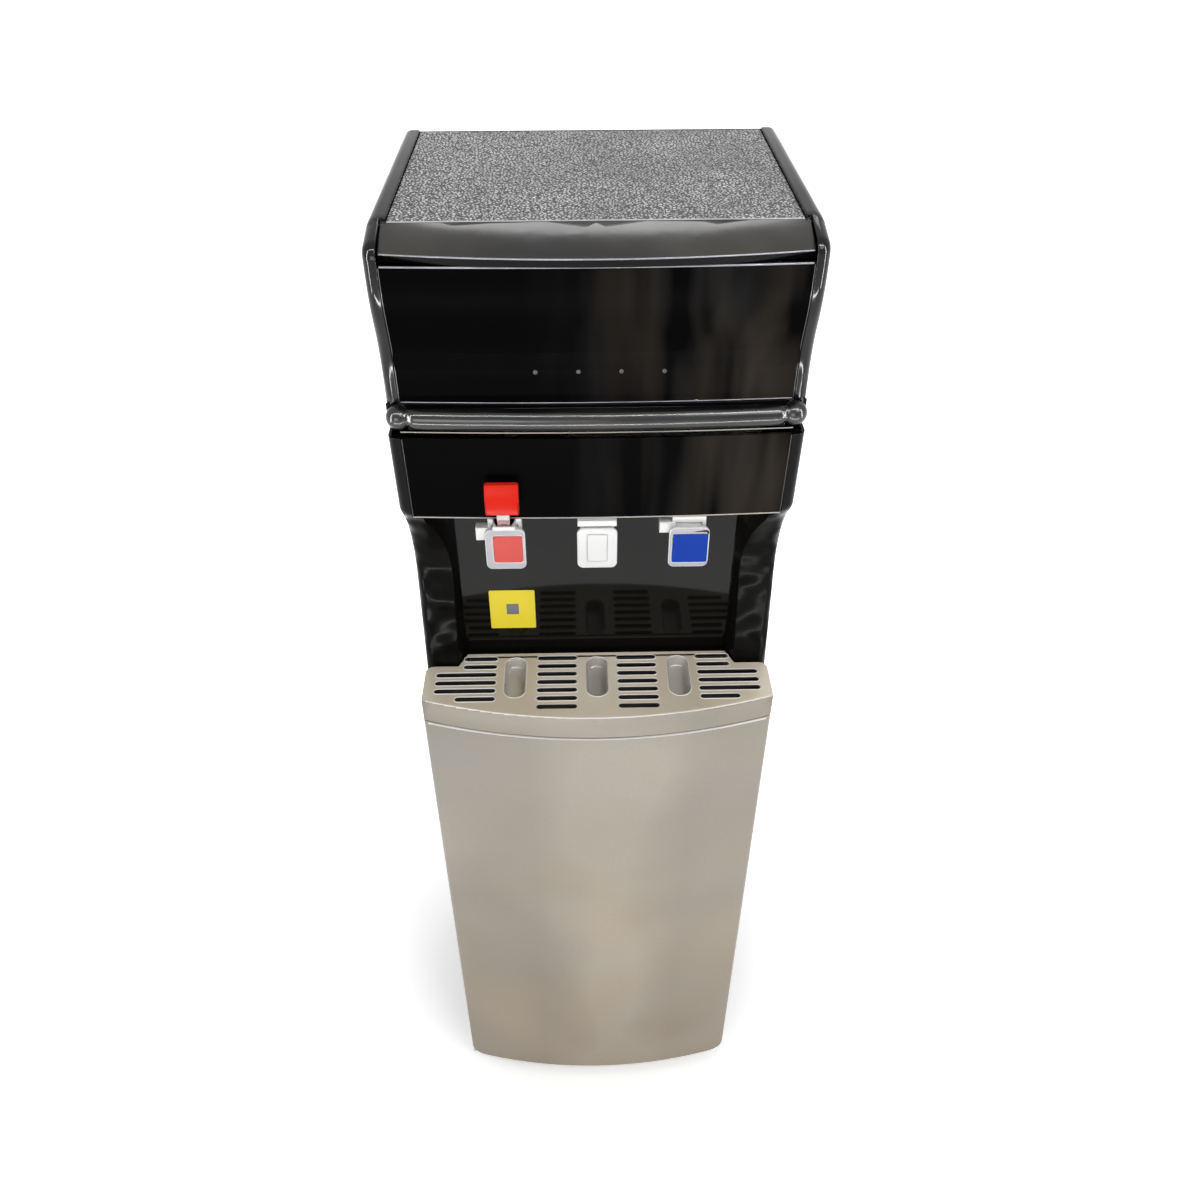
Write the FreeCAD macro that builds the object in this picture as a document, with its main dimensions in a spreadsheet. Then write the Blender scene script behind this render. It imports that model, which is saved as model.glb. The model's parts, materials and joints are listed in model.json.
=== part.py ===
import FreeCAD, Part
import math
import os
import Sketcher
from FreeCAD import Placement, Rotation, Vector

# Bottom-loading water dispenser, millimetres, +Z up.
# The origin is the middle of the footprint, on the surface the dispenser stands on.
# The front faces -Y and the user's right is +X.

os.makedirs("parts", exist_ok=True)
doc = FreeCAD.newDocument("water_dispenser")

# Driving dimensions: cell name, value, meaning
DIMENSIONS = [
    ("body_width", 310, "width over the side panels"),
    ("body_height", 1015, "height of the head's side rails above the floor"),
    ("tray_reach", 165, "centre plane to the middle of the drip tray's front edge"),
    ("tray_edge_reach", 139.5, "centre plane to the drip tray's front corners"),
    ("rear_reach", 137, "centre plane to the outside of the rear panel"),
    ("side_gap", 0.5, "gap between an inner piece and the side panel beside it"),
    ("seat_gap", 0.3, "gap between a moving piece and what it rests on"),
    ("overrun", 1, "how far a cut or a joined piece runs past the face that it meets"),
    ("sheet", 1.5, "thickness of the steel sheet parts"),
    ("panel_sheet", 1.2, "thickness of the painted side panels"),
    ("shell_wall", 3, "wall of the moulded housings"),
    ("foot_height", 12, "height of the rubber feet"),
    ("foot_radius", 17, "radius of a rubber foot"),
    ("foot_taper", 2, "difference between a foot's lower and upper radius"),
    ("foot_along", 85, "centre plane to a foot, front to back"),
    ("base_height", 22, "height of the base moulding"),
    ("rib_height", 3, "depth of the base moulding's underside pocket"),
    ("rib_wall", 4, "thickness of the base moulding's ribs"),
    ("cabinet_front_reach", 117, "centre plane to the cabinet's front behind the door"),
    ("jamb_width", 16, "width of the side panels' folded front edges"),
    ("deck_flange", 18, "height of the deck's folded edges"),
    ("guide_height", 12, "height of the bottle guide's rim"),
    ("guide_floor", 3, "floor of the bottle guide"),
    ("door_edge_reach", 138.5, "centre plane to the door's front corners"),
    ("door_reach", 160, "centre plane to the middle of the door's front"),
    ("door_bottom", 13, "lower edge of the door"),
    ("door_wall", 2.5, "wall of the door skin"),
    ("door_corner", 5, "radius of the door's upright front edges"),
    ("hinge_pin_radius", 3, "radius of the door's hinge pins"),
    ("hinge_pin_length", 12, "length of a hinge pin"),
    ("hinge_clearance", 0.06, "radial running clearance of the hinge pins"),
    ("hinge_boss_radius", 6, "radius of the bosses round the hinge bores"),
    ("hinge_plate", 2.5, "thickness of the lower hinge plate"),
    ("hinge_setback", 3, "front of a cheek's foot to the rear edge of a hinge plate"),
    ("hinge_width", 27, "width of the hinge plates"),
    ("cover_wall", 2.5, "wall of the drip tray cover"),
    ("cover_gap", 1, "gap between the cover and the cheeks"),
    ("cover_corner", 8, "radius of the cover's outer rear corners"),
    ("slot_width", 5.6, "width of a drain slot"),
    ("slot_pitch", 10.5, "distance from one row of slots to the next"),
    ("slot_inner", 18, "centre plane to the inner end of a middle slot"),
    ("slot_outer", 53.5, "centre plane to the outer end of a middle slot"),
    ("side_slot_inner", 90, "centre plane to the inner end of a side slot"),
    ("oval_width", 19, "width of an oval drain hole"),
    ("oval_length", 52, "length of an oval drain hole"),
    ("oval_reach", 112, "centre plane to the middle of an oval drain hole"),
    ("basin_floor", 2, "floor of the drip basin"),
    ("basin_gap", 2, "gap between the basin and the cover's apron"),
    ("foot_front_reach", 95, "centre plane to the front of a cheek's foot"),
    ("recess_reach", 70, "centre plane to the alcove's rear wall"),
    ("rail_width", 10, "width of the rails beside the front panels"),
    ("rail_round", 8, "radius of the rails' outer edges"),
    ("waist_reach", 80, "centre plane to the cheeks' front at the waist"),
    ("insert_thickness", 2, "thickness of the textured top panel"),
    ("insert_front_reach", 87, "centre plane to the front edge of the top panel"),
    ("panel_bow", 4, "how far a front panel's middle stands forward of its ends"),
    ("panel_thickness", 3, "thickness of the front panels"),
    ("panel_sink", 1.5, "how far the control panel's ends lie behind the rails"),
    ("lamp_count", 4, "number of indicator lamps"),
    ("lamp_pitch", 30.8, "distance between indicator lamps"),
    ("lamp_shift", 2.2, "sideways shift of the row of lamps"),
    ("lamp_radius", 1.6, "radius of an indicator lamp"),
    ("tap_pitch", 73, "distance from one tap to the next"),
    ("tap_reach", 97, "centre plane to the taps' nozzles"),
    ("tap_body_radius", 9, "radius of a tap body"),
    ("nozzle_radius", 5, "outer radius of a nozzle"),
    ("nozzle_bore", 3.2, "bore radius of a nozzle"),
    ("collar_radius", 13, "radius of a tap's collar at the ceiling"),
    ("shank_radius", 7, "radius of a tap's threaded shank"),
    ("pivot_pin_radius", 1.5, "radius of a paddle's pin"),
    ("pivot_clearance", 0.05, "radial running clearance on a paddle's pin"),
    ("hub_radius", 3.4, "radius of a paddle's hub"),
    ("hub_half_length", 10, "half length of a paddle's hub"),
    ("ear_gap", 0.4, "gap between a paddle's hub and the ears beside it"),
    ("ear_thickness", 3, "thickness of the ears that hold a pin"),
    ("paddle_width", 32, "width of a paddle"),
    ("paddle_thickness", 3, "thickness of a paddle's plate"),
    ("paddle_corner", 5, "corner radius of a paddle"),
    ("tile_thickness", 1.4, "thickness of a coloured tile"),
    ("tile_sink", 0.8, "depth of a tile's pocket in its paddle"),
    ("tile_gap", 0.15, "gap round a tile in its pocket"),
    ("cap_width", 26, "width of the child lock's cap"),
    ("cap_height", 25, "height of the child lock's cap"),
    ("cap_depth", 9, "depth of the child lock's cap"),
    ("stem_width", 10, "width of the child lock's stem"),
    ("stem_thickness", 2.6, "thickness of the child lock's stem"),
    ("stem_clearance", 0.3, "gap round the stem in its guide"),
    ("shelf_flange", 12, "height of the tank shelf's folded edges"),
    ("compressor_radius", 57, "radius of the compressor's shell"),
    ("compressor_height", 140, "height of the compressor"),
    ("mount_height", 12, "height of the compressor's rubber mounts"),
    ("hot_radius", 46, "radius of the hot tank"),
    ("hot_height", 150, "height of the hot tank"),
    ("jacket_wall", 8, "thickness of the hot tank's jacket"),
    ("cold_radius", 62, "radius of the cold tank"),
    ("cold_height", 140, "height of the cold tank"),
    ("foam_wall", 18, "thickness of the cold tank's foam"),
    ("tube_radius", 4, "outer radius of the water tubes"),
    ("probe_cap_radius", 21, "radius of the suction probe's cap"),
    ("straw_bottom", 100, "lower end of the suction probe's straw"),
    ("pump_radius", 21, "radius of the water pump"),
    ("pump_height", 66, "height of the water pump"),
    ("coil_radius", 2.5, "radius of the condenser's tube"),
    ("coil_pitch", 74, "distance from one condenser pass to the next"),
    ("coil_passes", 10, "number of condenser passes"),
    ("wire_radius", 0.8, "radius of a condenser wire"),
    ("wire_gap", 0.02, "gap between a condenser wire and the coil's tube"),
    ("wire_pitch", 16, "distance from one condenser wire to the next"),
    ("wire_count", 14, "number of condenser wires on each side"),
    ("louvre_length", 190, "length of a louvre slot"),
    ("louvre_width", 5, "height of a louvre slot"),
    ("louvre_pitch", 14, "distance from one louvre slot to the next"),
    ("rear_lift", 2, "foot of the rear panel above the rubber feet"),
    ("louvre_count", 9, "number of louvre slots"),
    ("switch_across", 26, "distance between the rear switches"),
    ("rocker_width", 13, "width of a rocker"),
    ("rocker_height", 18.4, "height of a rocker"),
    ("rocker_root", 14, "height of a rocker's back"),
    ("rocker_back", 5, "pivot to a rocker's back"),
    ("rocker_front", 6, "pivot to the middle of a rocker's face"),
    ("rocker_rise", 1.3, "how far a rocker's ends stand proud of its middle"),
    ("rocker_pin", 2, "length of a rocker's pivot pin on each side"),
    ("rocker_shift", -0.5, "rear panel's face to the rockers' pivot axis"),
    ("rocker_tilt", 8, "tilt of a rocker in its off position, degrees"),
    ("rocker_travel", 10.8, "half height of a rocker's well"),
    ("frame_width", 54, "width of the switch frame"),
    ("frame_height", 34, "height of the switch frame"),
    ("frame_flange", 2.5, "thickness of the switch frame's flange"),
    ("frame_lip", 3.4, "width of the switch frame's flange"),
    ("frame_depth", 14, "depth of the switch frame behind the rear panel's face"),
    ("rocker_gap", 0.4, "gap round a rocker in its frame"),
    ("inlet_level", 60, "height of the mains inlet"),
    ("rail_top_reach", 119, "centre plane to the lower rails' front at their top"),
    ("rail_foot_reach", 115, "centre plane to the lower rails' front at their foot"),
    ("roll_radius", 13, "radius of the roll-under"),
    ("roll_angle", 48, "angle below level that the rails roll under to, degrees"),
    ("roll_run", 10, "length of the straight stretch after the roll-under"),
    ("foot_lean", 7.6, "forward lean of the cheeks' feet, degrees"),
    ("recess_step", 10, "depth of the recess's straight rear part"),
    ("cheek_clear_reach", 140, "centre plane to a plane clear in front of the housing"),
    ("cheek_core_height", 130, "height of the hollow behind a cheek above the sill"),
    ("ceiling_depth", 8, "how far the ceiling's front edge is cut down for the lower panel"),
    ("rail_nose_reach", 120, "centre plane to the upper rails' front at the brow"),
    ("bead_seat_reach", 107, "centre plane to the upper rails' front at the bead"),
    ("crown_lean", 14, "fall of the brow in front of the insert, degrees"),
    ("crown_run", 7, "run of the rounding between the top and the brow, each way"),
    ("top_round", 12, "radius of the head's upper rear and front edges"),
    ("brow_tuck", 3, "how far the brow's underside starts behind its nose"),
    ("bezel_radius", 160, "radius of the bezel's crowned slope"),
    ("bead_foot_run", 2, "how far the bead's foot starts behind its nose"),
    ("bead_foot_rise", 6, "height of the bead's foot"),
    ("bead_lip", 1, "height of the bevel along the bead's top"),
    ("bead_shoulder", 5, "how far the bead's top starts behind its nose"),
    ("bead_radius", 14, "radius of the bead's front"),
    ("insert_rim", 2, "width of the rim behind the top panel"),
    ("bottle_centre", 4, "centre plane to the bottle's axis, forwards"),
    ("dish_slope", 14, "width of the dish's sloping sides"),
    ("grip_height", 110, "height of the finger notch in the door's edge"),
    ("grip_width", 12, "width of the finger notch in the door's edge"),
    ("grip_depth", 9, "depth of the finger notch"),
    ("catch_width", 28, "width of the door catch"),
    ("catch_height", 12, "height of the door catch"),
    ("catch_depth", 8, "depth of the door catch"),
    ("catch_plate", 1, "thickness of the steel plate on the door"),
    ("cover_round", 1.5, "radius of the cover's upper front edge"),
    ("line_rise", 10, "top of the compressor's outlet stub to the refrigerant line's level"),
    ("line_radius", 3, "radius of the refrigerant line"),
    ("line_bend", 8, "setback of the refrigerant line's corners"),
    ("riser_radius", 5, "outer radius of the suction riser"),
    ("collar_height", 12, "height of a tap's conical collar"),
    ("port_radius", 5, "outer radius of the tube ports"),
    ("port_bore", 2.5, "bore radius of the tube ports"),
    ("room_block_half", 15.5, "half width of the room tap's cross block"),
    ("hook_reach", 23.5, "tap's axis to the end of its side hook"),
    ("hook_depth", 8, "depth of a side hook"),
    ("guide_wall", 4, "wall beside the child lock's stem"),
    ("arm_height", 4, "height of the arm between a paddle and its hub"),
    ("arm_width", 16, "width of the arm between a paddle and its hub"),
    ("tile_corner", 1.5, "corner radius of a coloured tile"),
    ("hot_tile_shift", 2, "sideways shift of the hot tile on its paddle"),
    ("hot_tile_width", 23, "width of the hot tile"),
    ("hot_tile_height", 25, "height of the hot tile"),
    ("cold_tile_shift", 1, "sideways shift of the cold tile on its paddle"),
    ("cold_tile_width", 28, "width of the cold tile"),
    ("cold_tile_height", 27, "height of the cold tile"),
    ("room_panel_width", 16, "width of the raised panel on the room paddle"),
    ("room_panel_rise", 0.8, "height of the raised panel on the room paddle"),
    ("nut_radius", 13, "radius over the corners of a tap's nut"),
    ("nut_height", 5, "height of a tap's nut"),
    ("cap_back", 2, "stem's middle plane to the back of the child lock's cap"),
    ("cap_bevel_depth", 4, "depth of the bevel on the child lock's cap"),
    ("cap_bevel_height", 8, "height of the bevel on the child lock's cap"),
    ("cap_round", 1.2, "radius of the cap's side edges"),
    ("board_thickness", 1.5, "thickness of the control board"),
    ("board_half_width", 60, "half width of the control board"),
    ("board_height", 42, "height of the control board"),
    ("hot_outlet_back", 20, "centre plane to the hot tank's outlet, backwards"),
    ("hot_front", 4, "centre plane to the hot tank's axis, forwards"),
    ("mount_plate", 2.5, "thickness of the compressor's base plate"),
    ("mount_plate_width", 120, "width of the compressor's base plate"),
    ("mount_plate_length", 110, "length of the compressor's base plate"),
    ("mount_radius", 9, "radius of a rubber mount"),
    ("compressor_rim", 3, "width of the compressor's weld rim"),
    ("seam_height", 62, "height of the weld rim above the base plate"),
    ("seam_width", 5, "thickness of the weld rim"),
    ("shell_bevel", 15, "width of the two-step bevels on the compressor's shell"),
    ("outlet_back", 34, "compressor's axis to its outlet stub"),
    ("stub_height", 11.5, "height of the compressor's outlet stub"),
    ("stub_wall", 1, "wall of the compressor's outlet stub"),
    ("chamber_radius", 40, "radius of the free chamber in the compressor"),
    ("chamber_height", 90, "height of the free chamber in the compressor"),
    ("tank_wall", 1.5, "wall of the hot and cold tanks"),
    ("tube_bend", 6, "setback of the hot tube's corner"),
    ("feed_bend", 12, "setback of the feed tube's corner"),
    ("pump_neck", 20, "height of the pump's neck"),
    ("pump_step", 5, "step between the pump's motor and neck"),
    ("ledge_radius", 12, "radius of the opening under the pump"),
    ("probe_cap_height", 18, "height of the suction probe's cap"),
    ("nipple_height", 9, "height of the suction probe's nipple"),
    ("clip_lift", 4, "lower edge of the probe's cap to its clip"),
    ("clip_height", 7, "height of the probe's clip"),
    ("clip_width", 12, "width of the clip's arm"),
    ("coil_tail_inset", 14, "coil's start to the axis of its tail through the rear panel"),
    ("coil_wall", 0.5, "wall of the condenser's tube"),
    ("bend_angle", 45, "angle up the condenser's bends to their mitred corners, degrees"),
    ("coil_elbow", 8, "setback of the condenser's inlet elbow"),
    ("wire_overhang", 5, "how far the wires reach past the coil's outer passes"),
    ("bracket_inset", 22, "end of the wires to the middle of a condenser bracket"),
    ("bracket_width", 14, "width of a condenser bracket"),
    ("bracket_height", 10, "height of a condenser bracket"),
    ("gland_radius", 7, "radius of the mains gland"),
    ("gland_lip", 3, "width and thickness of the mains gland's flange"),
    ("gland_bore", 4, "radius of the mains gland's bore"),
    ("gland_tail", 6, "length of the mains gland inside the rear panel's face"),
    ("gland_length", 10, "length of the mains gland outside the rear panel"),
    ("drain_radius", 6, "outer radius of the drain outlet"),
    ("drain_length", 15, "length of the drain outlet"),
    ("drain_lip", 2.5, "width and thickness of the drain outlet's flange"),
    ("drain_cap_end", 3, "thickness of the drain cap's end"),
]

# Dimensions that follow another one: cell name, offset, what it is added to, meaning
FOLLOWERS = [
    ("deck_level", -421, "body_height", "top of the steel deck over the bottle bay"),
    ("ceiling_level", -223, "body_height", "ceiling of the alcove"),
    ("housing_top", -149, "body_height", "top of the alcove housing"),
    ("cover_joint", -144, "body_height", "lower edge of the head cover"),
    ("insert_level", -3, "body_height", "top of the textured top panel"),
    ("brow_level", -14, "body_height", "level of the brow's nose"),
    ("brow_bottom", -20.7, "body_height", "underside of the brow"),
    ("bead_top", -127, "body_height", "top of the bead"),
    ("lower_top", -150, "body_height", "top of the lower front panel"),
    ("curve_top", -30, "body_height", "level where the upper rails' S-curve begins"),
    ("curve_foot", -108, "body_height", "level where the upper rails' S-curve ends"),
    ("lamp_level", -101.5, "body_height", "height of the indicator lamps"),
    ("feed_level", -155, "body_height", "height of the feed tube's upper run"),
    ("switch_level", -177, "body_height", "height of the rear switches"),
    ("door_top", -0.5, "deck_level", "upper edge of the door"),
    ("cover_top", 26, "deck_level", "top of the drip tray cover"),
    ("cover_bottom", 2, "deck_level", "lower edge of the drip tray cover's apron"),
    ("recess_sill", 18, "deck_level", "level of the ledge behind the drip tray"),
    ("pump_bottom", 18, "deck_level", "lower end of the water pump"),
    ("bracket_top", 46, "deck_level", "upper edge of the pump's sleeve"),
    ("drain_level", 31, "deck_level", "height of the tank drain outlets"),
    ("louvre_first", 46, "deck_level", "height of the lowest louvre slot"),
    ("probe_cap_bottom", -46, "deck_level", "lower edge of the suction probe's cap"),
    ("lower_foot", -0.5, "ceiling_level", "lower edge of the lower front panel"),
    ("rail_foot", 9, "ceiling_level", "level where the lower rails begin to roll under"),
    ("tap_body_bottom", -24, "ceiling_level", "lower end of a tap body"),
    ("nozzle_bottom", -35, "ceiling_level", "lower end of a nozzle"),
    ("pivot_level", -11, "ceiling_level", "height of the paddles' pivot axis"),
    ("shank_top", 20, "ceiling_level", "upper end of a tap's shank"),
    ("block_bottom", -6.2, "ceiling_level", "underside of a tap's cross block"),
    ("block_top", -0.8, "ceiling_level", "top of a tap's cross block"),
    ("guide_bottom", -4.2, "ceiling_level", "underside of the child lock's guide"),
    ("hot_hook_bottom", -21, "ceiling_level", "lower edge of the hot tap's hook"),
    ("hot_hook_top", -9, "ceiling_level", "upper edge of the hot tap's hook"),
    ("cold_hook_bottom", -16, "ceiling_level", "lower edge of the cold tap's hook"),
    ("cold_hook_top", -6, "ceiling_level", "upper edge of the cold tap's hook"),
    ("cap_bottom", 12, "ceiling_level", "lower edge of the child lock's cap"),
    ("stem_bottom", -6, "ceiling_level", "lower end of the child lock's stem"),
    ("coil_top", 4, "ceiling_level", "height of the highest condenser pass"),
    ("shelf_level", 5.5, "ceiling_level", "top of the tank shelf"),
    ("tube_level", 14, "ceiling_level", "height of the tubes to the taps"),
    ("ear_bottom", -3.6, "pivot_level", "lower edge of the pin's ears"),
    ("paddle_top", 4, "pivot_level", "upper edge of a paddle"),
    ("paddle_bottom", -34, "pivot_level", "lower edge of a paddle"),
    ("tile_top", -2, "pivot_level", "upper edge of the coloured tiles"),
    ("room_panel_bottom", -27, "pivot_level", "lower edge of the raised panel on the room paddle"),
    ("room_panel_top", -1, "pivot_level", "upper edge of the raised panel on the room paddle"),
    ("foot_across", -40, "half_width", "centre plane to a foot, sideways"),
    ("hinge_across", -7, "half_width", "centre plane to the door hinge axis, sideways"),
    ("guide_outer", -16, "half_width", "outer radius of the bottle guide"),
    ("cover_half_width", -1, "half_width", "half width of the drip tray cover"),
    ("side_slot_outer", -11, "half_width", "centre plane to the outer end of a long side slot"),
    ("side_slot_short", -35, "half_width", "centre plane to the outer end of a short side slot"),
    ("side_slot_front", -30, "half_width", "centre plane to the outer end of the foremost side slot"),
    ("cheek_inner", -29, "half_width", "centre plane to the inner edge of a cheek's foot"),
    ("recess_top_half_width", -17, "half_width", "half width of the alcove's mouth at the ceiling"),
    ("insert_half_width", -14, "half_width", "half width of the textured top panel"),
    ("dish_half_width", -67, "half_width", "half width of the dish's bottom"),
    ("catch_across", -49, "half_width", "centre plane to the near side of the door catch"),
    ("compressor_across", -75, "half_width", "centre plane to the compressor's axis, sideways"),
    ("hot_across", -85, "half_width", "centre plane to the hot tank's axis, sideways"),
    ("cold_across", -97, "half_width", "centre plane to the cold tank's axis, sideways"),
    ("probe_across", -29, "half_width", "centre plane to the suction probe's axis, sideways"),
    ("drain_across", -19, "half_width", "centre plane to the drain outlet, sideways"),
    ("inlet_across", -35, "half_width", "centre plane to the mains inlet, sideways"),
    ("coil_half_width", -37, "half_width", "centre plane to the condenser's bends"),
    ("bottle_radius", -2.8, "guide_outer", "clear radius inside the bottle guide"),
    ("recess_half_width", -7, "cheek_inner", "half width of the alcove's rear wall"),
    ("coil_start", -8, "coil_half_width", "centre plane to the condenser's outlet"),
    ("condenser_reach", 28, "rear_reach", "centre plane to the rearmost wires of the condenser"),
    ("probe_back", -29, "rear_reach", "centre plane to the suction probe's axis, backwards"),
    ("cold_back", -95, "rear_reach", "centre plane to the cold tank's axis, backwards"),
    ("compressor_back", -73, "rear_reach", "centre plane to the compressor's axis, backwards"),
    ("housing_rear_reach", -3, "recess_reach", "centre plane to the back of the alcove housing"),
    ("cover_rear_reach", 10, "recess_reach", "centre plane to the cover's rear edge"),
    ("slot_first_reach", 7, "cover_rear_reach", "centre plane to the rearmost row of slots"),
    ("shelf_front_reach", -5, "housing_rear_reach", "centre plane to the tank shelf's front edge"),
    ("door_back_reach", 3, "cabinet_front_reach", "centre plane to the door's back"),
    ("hinge_reach", -8.5, "door_edge_reach", "centre plane to the door hinge axis, forwards"),
    ("dish_reach", -17, "door_reach", "centre plane to the bottom of the dish in the door liner"),
    ("brow_reach", 9, "rail_nose_reach", "centre plane to the brow's nose in the middle"),
    ("brow_edge_reach", -4, "rail_nose_reach", "centre plane to the brow's nose at its ends"),
    ("bead_reach", 19, "bead_seat_reach", "centre plane to the bead's nose in the middle"),
    ("bead_edge_reach", 13, "bead_seat_reach", "centre plane to the bead's nose at its ends"),
    ("board_reach", -1.4, "bead_seat_reach", "centre plane to the front of the control board"),
    ("lamp_reach", 4.8, "board_reach", "centre plane to the front of the indicator lamps"),
    ("lower_top_reach", -2.5, "rail_top_reach", "centre plane to the lower panel's upper corners"),
    ("lower_foot_reach", -3.5, "rail_foot_reach", "centre plane to the lower panel's lower corners"),
    ("pivot_reach", 14, "tap_reach", "centre plane to the paddles' pivot axis"),
    ("port_reach", -13, "tap_reach", "centre plane to the ends of the taps' tube ports"),
    ("room_block_reach", 22, "tap_reach", "centre plane to the front of the room tap's cross block"),
    ("ear_reach", 3.6, "pivot_reach", "centre plane to the front of the pin's ears"),
    ("paddle_reach", 10, "pivot_reach", "centre plane to a paddle's front"),
    ("stem_reach", 11.5, "pivot_reach", "centre plane to the middle of the child lock's stem"),
    ("guide_reach", 3.5, "stem_reach", "centre plane to the front of the child lock's guide"),
]


class Size:
    """A length in millimetres together with the sheet formula that gives it."""

    def __init__(self, value, formula):
        self.value = float(value)
        self.formula = formula

    def __add__(self, other):
        other = size(other)
        return Size(self.value + other.value, f"({self.formula} + {other.formula})")

    def __sub__(self, other):
        other = size(other)
        return Size(self.value - other.value, f"({self.formula} - {other.formula})")

    def __mul__(self, other):
        other = size(other)
        return Size(self.value * other.value, f"({self.formula} * {other.formula})")

    def __truediv__(self, other):
        other = size(other)
        return Size(self.value / other.value, f"({self.formula} / {other.formula})")

    def __neg__(self):
        return Size(-self.value, f"(-1 * {self.formula})")

    __radd__ = __add__
    __rmul__ = __mul__

    def __rsub__(self, other):
        return size(other) - self


def size(number):
    """A Size, made from a plain number where need be."""
    if isinstance(number, Size):
        return number
    return Size(number, f"({float(number)!r})")


class Sheet:
    """The spreadsheet of driving dimensions, read as Sizes by name."""

    def __init__(self, rows, followers):
        self.cells = doc.addObject("Spreadsheet::Sheet", "Sizes")
        self.count = 0
        for name, value, meaning in rows:
            setattr(self, name, self.add_cell(name, value, meaning))
        self.half_width = self.body_width / 2
        for name, offset, datum, meaning in followers:
            step = self.add_cell(name + "_offset", offset, f"{meaning}, from {datum}")
            setattr(self, name, getattr(self, datum) + step)

    def add_cell(self, alias, value, meaning):
        """Write one named number into the next row."""
        self.count += 1
        self.cells.set(f"A{self.count}", meaning)
        self.cells.set(f"B{self.count}", str(value))
        self.cells.setAlias(f"B{self.count}", alias)
        return Size(value, f"Sizes.{alias}")


S = Sheet(DIMENSIONS, FOLLOWERS)
doc.recompute()

nodes = []


def node(label, item):
    """Name a finished sub-part; its name is also its file's name."""
    item.Label = label
    nodes.append(item)
    return item


# Part primitives and booleans

def bind(item, **formulas):
    for name, value in formulas.items():
        item.setExpression(name, size(value).formula)


def place(item, x, y, z, rotation=None):
    if rotation is not None:
        item.Placement = Placement(Vector(0, 0, 0), rotation)
    for name, value in (("x", x), ("y", y), ("z", z)):
        item.setExpression(f"Placement.Base.{name}", size(value).formula)


def box(label, xs, ys, zs):
    """A box between two corners, each given as (low, high) along X, Y and Z."""
    item = doc.addObject("Part::Box", label)
    spans = [size(high) - size(low) for low, high in (xs, ys, zs)]
    bind(item, Length=spans[0], Width=spans[1], Height=spans[2])
    place(item, xs[0], ys[0], zs[0])
    return item


TURNS = {
    "X": Rotation(Vector(0, 1, 0), 90),
    "Y": Rotation(Vector(1, 0, 0), -90),
    "Z": Rotation(),
}


def rod(label, radius, start, length, axis="Z"):
    """A cylinder that runs from start along +X, +Y or +Z."""
    item = doc.addObject("Part::Cylinder", label)
    bind(item, Radius=radius, Height=length)
    place(item, *start, rotation=TURNS[axis])
    return item


def cone(label, radius_low, radius_high, start, length):
    item = doc.addObject("Part::Cone", label)
    bind(item, Radius1=radius_low, Radius2=radius_high, Height=length)
    place(item, *start)
    return item


def fuse(label, *items):
    item = doc.addObject("Part::MultiFuse", label)
    item.Shapes = list(items)
    item.Refine = True
    return item


def cut(label, base, *tools):
    item = doc.addObject("Part::Cut", label)
    item.Base = base
    item.Tool = tools[0] if len(tools) == 1 else fuse(label + "_tools", *tools)
    item.Refine = True
    return item


def mirrored(label, source):
    """A copy on the other side of the centre plane."""
    item = doc.addObject("Part::Mirroring", label)
    item.Source = source
    item.Normal = Vector(1, 0, 0)
    item.Base = Vector(0, 0, 0)
    return item


def group(label, items):
    """Several alike solids in one sub-part."""
    item = doc.addObject("Part::Compound", label)
    item.Links = list(items)
    return item


# PartDesign bodies

def new_body(label):
    return doc.addObject("PartDesign::Body", label)


def origin_feature(body, role):
    return next(f for f in body.Origin.OriginFeatures if f.Role == role)


def new_sketch(body, role, offset=0):
    """A sketch on one of the body's own origin planes, moved along its normal."""
    sketch = body.newObject("Sketcher::SketchObject", "Sketch")
    sketch.AttachmentSupport = (origin_feature(body, role), "")
    sketch.MapMode = "FlatFace"
    sketch.setExpression("AttachmentOffset.Base.z", size(offset).formula)
    return sketch


def hold(sketch, kind, *references, value=None):
    """Add a constraint, driven by a Size where one is given."""
    if value is None:
        sketch.addConstraint(Sketcher.Constraint(kind, *references))
        return
    index = sketch.addConstraint(Sketcher.Constraint(kind, *references, value.value))
    name = f"{kind}{index}"
    sketch.renameConstraint(index, name)
    sketch.setExpression(f"Constraints.{name}", value.formula)


def fix_point(sketch, geometry, position, u, v):
    """Put a point of the sketch at the place (u, v)."""
    for kind, axis, value in (("DistanceX", -2, size(u)), ("DistanceY", -1, size(v))):
        if value.formula == "(0.0)":
            hold(sketch, "PointOnObject", geometry, position, axis)
        else:
            hold(sketch, kind, -1, 1, geometry, position, value=value)


def arc_centre(start, end, radius, side):
    """Centre of an arc; side 1 puts it left of the way from start to end, -1 right."""
    chord = end - start
    half = chord.Length / 2
    rise = math.sqrt(max(radius * radius - half * half, 0))
    left = Vector(-chord.y, chord.x, 0).normalize()
    return (start + end) / 2 + left * rise * side


def add_arc(sketch, start, end, radius, side):
    """Add an arc and return which of its ends is the start."""
    centre = arc_centre(start, end, radius, side)
    first, last = (start, end) if side > 0 else (end, start)
    angles = [math.atan2(p.y - centre.y, p.x - centre.x) for p in (first, last)]
    if angles[1] <= angles[0]:
        angles[1] += 2 * math.pi
    circle = Part.Circle(centre, Vector(0, 0, 1), radius)
    index = sketch.addGeometry(Part.ArcOfCircle(circle, angles[0], angles[1]), False)
    return (index, 1, 2) if side > 0 else (index, 2, 1)


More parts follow.
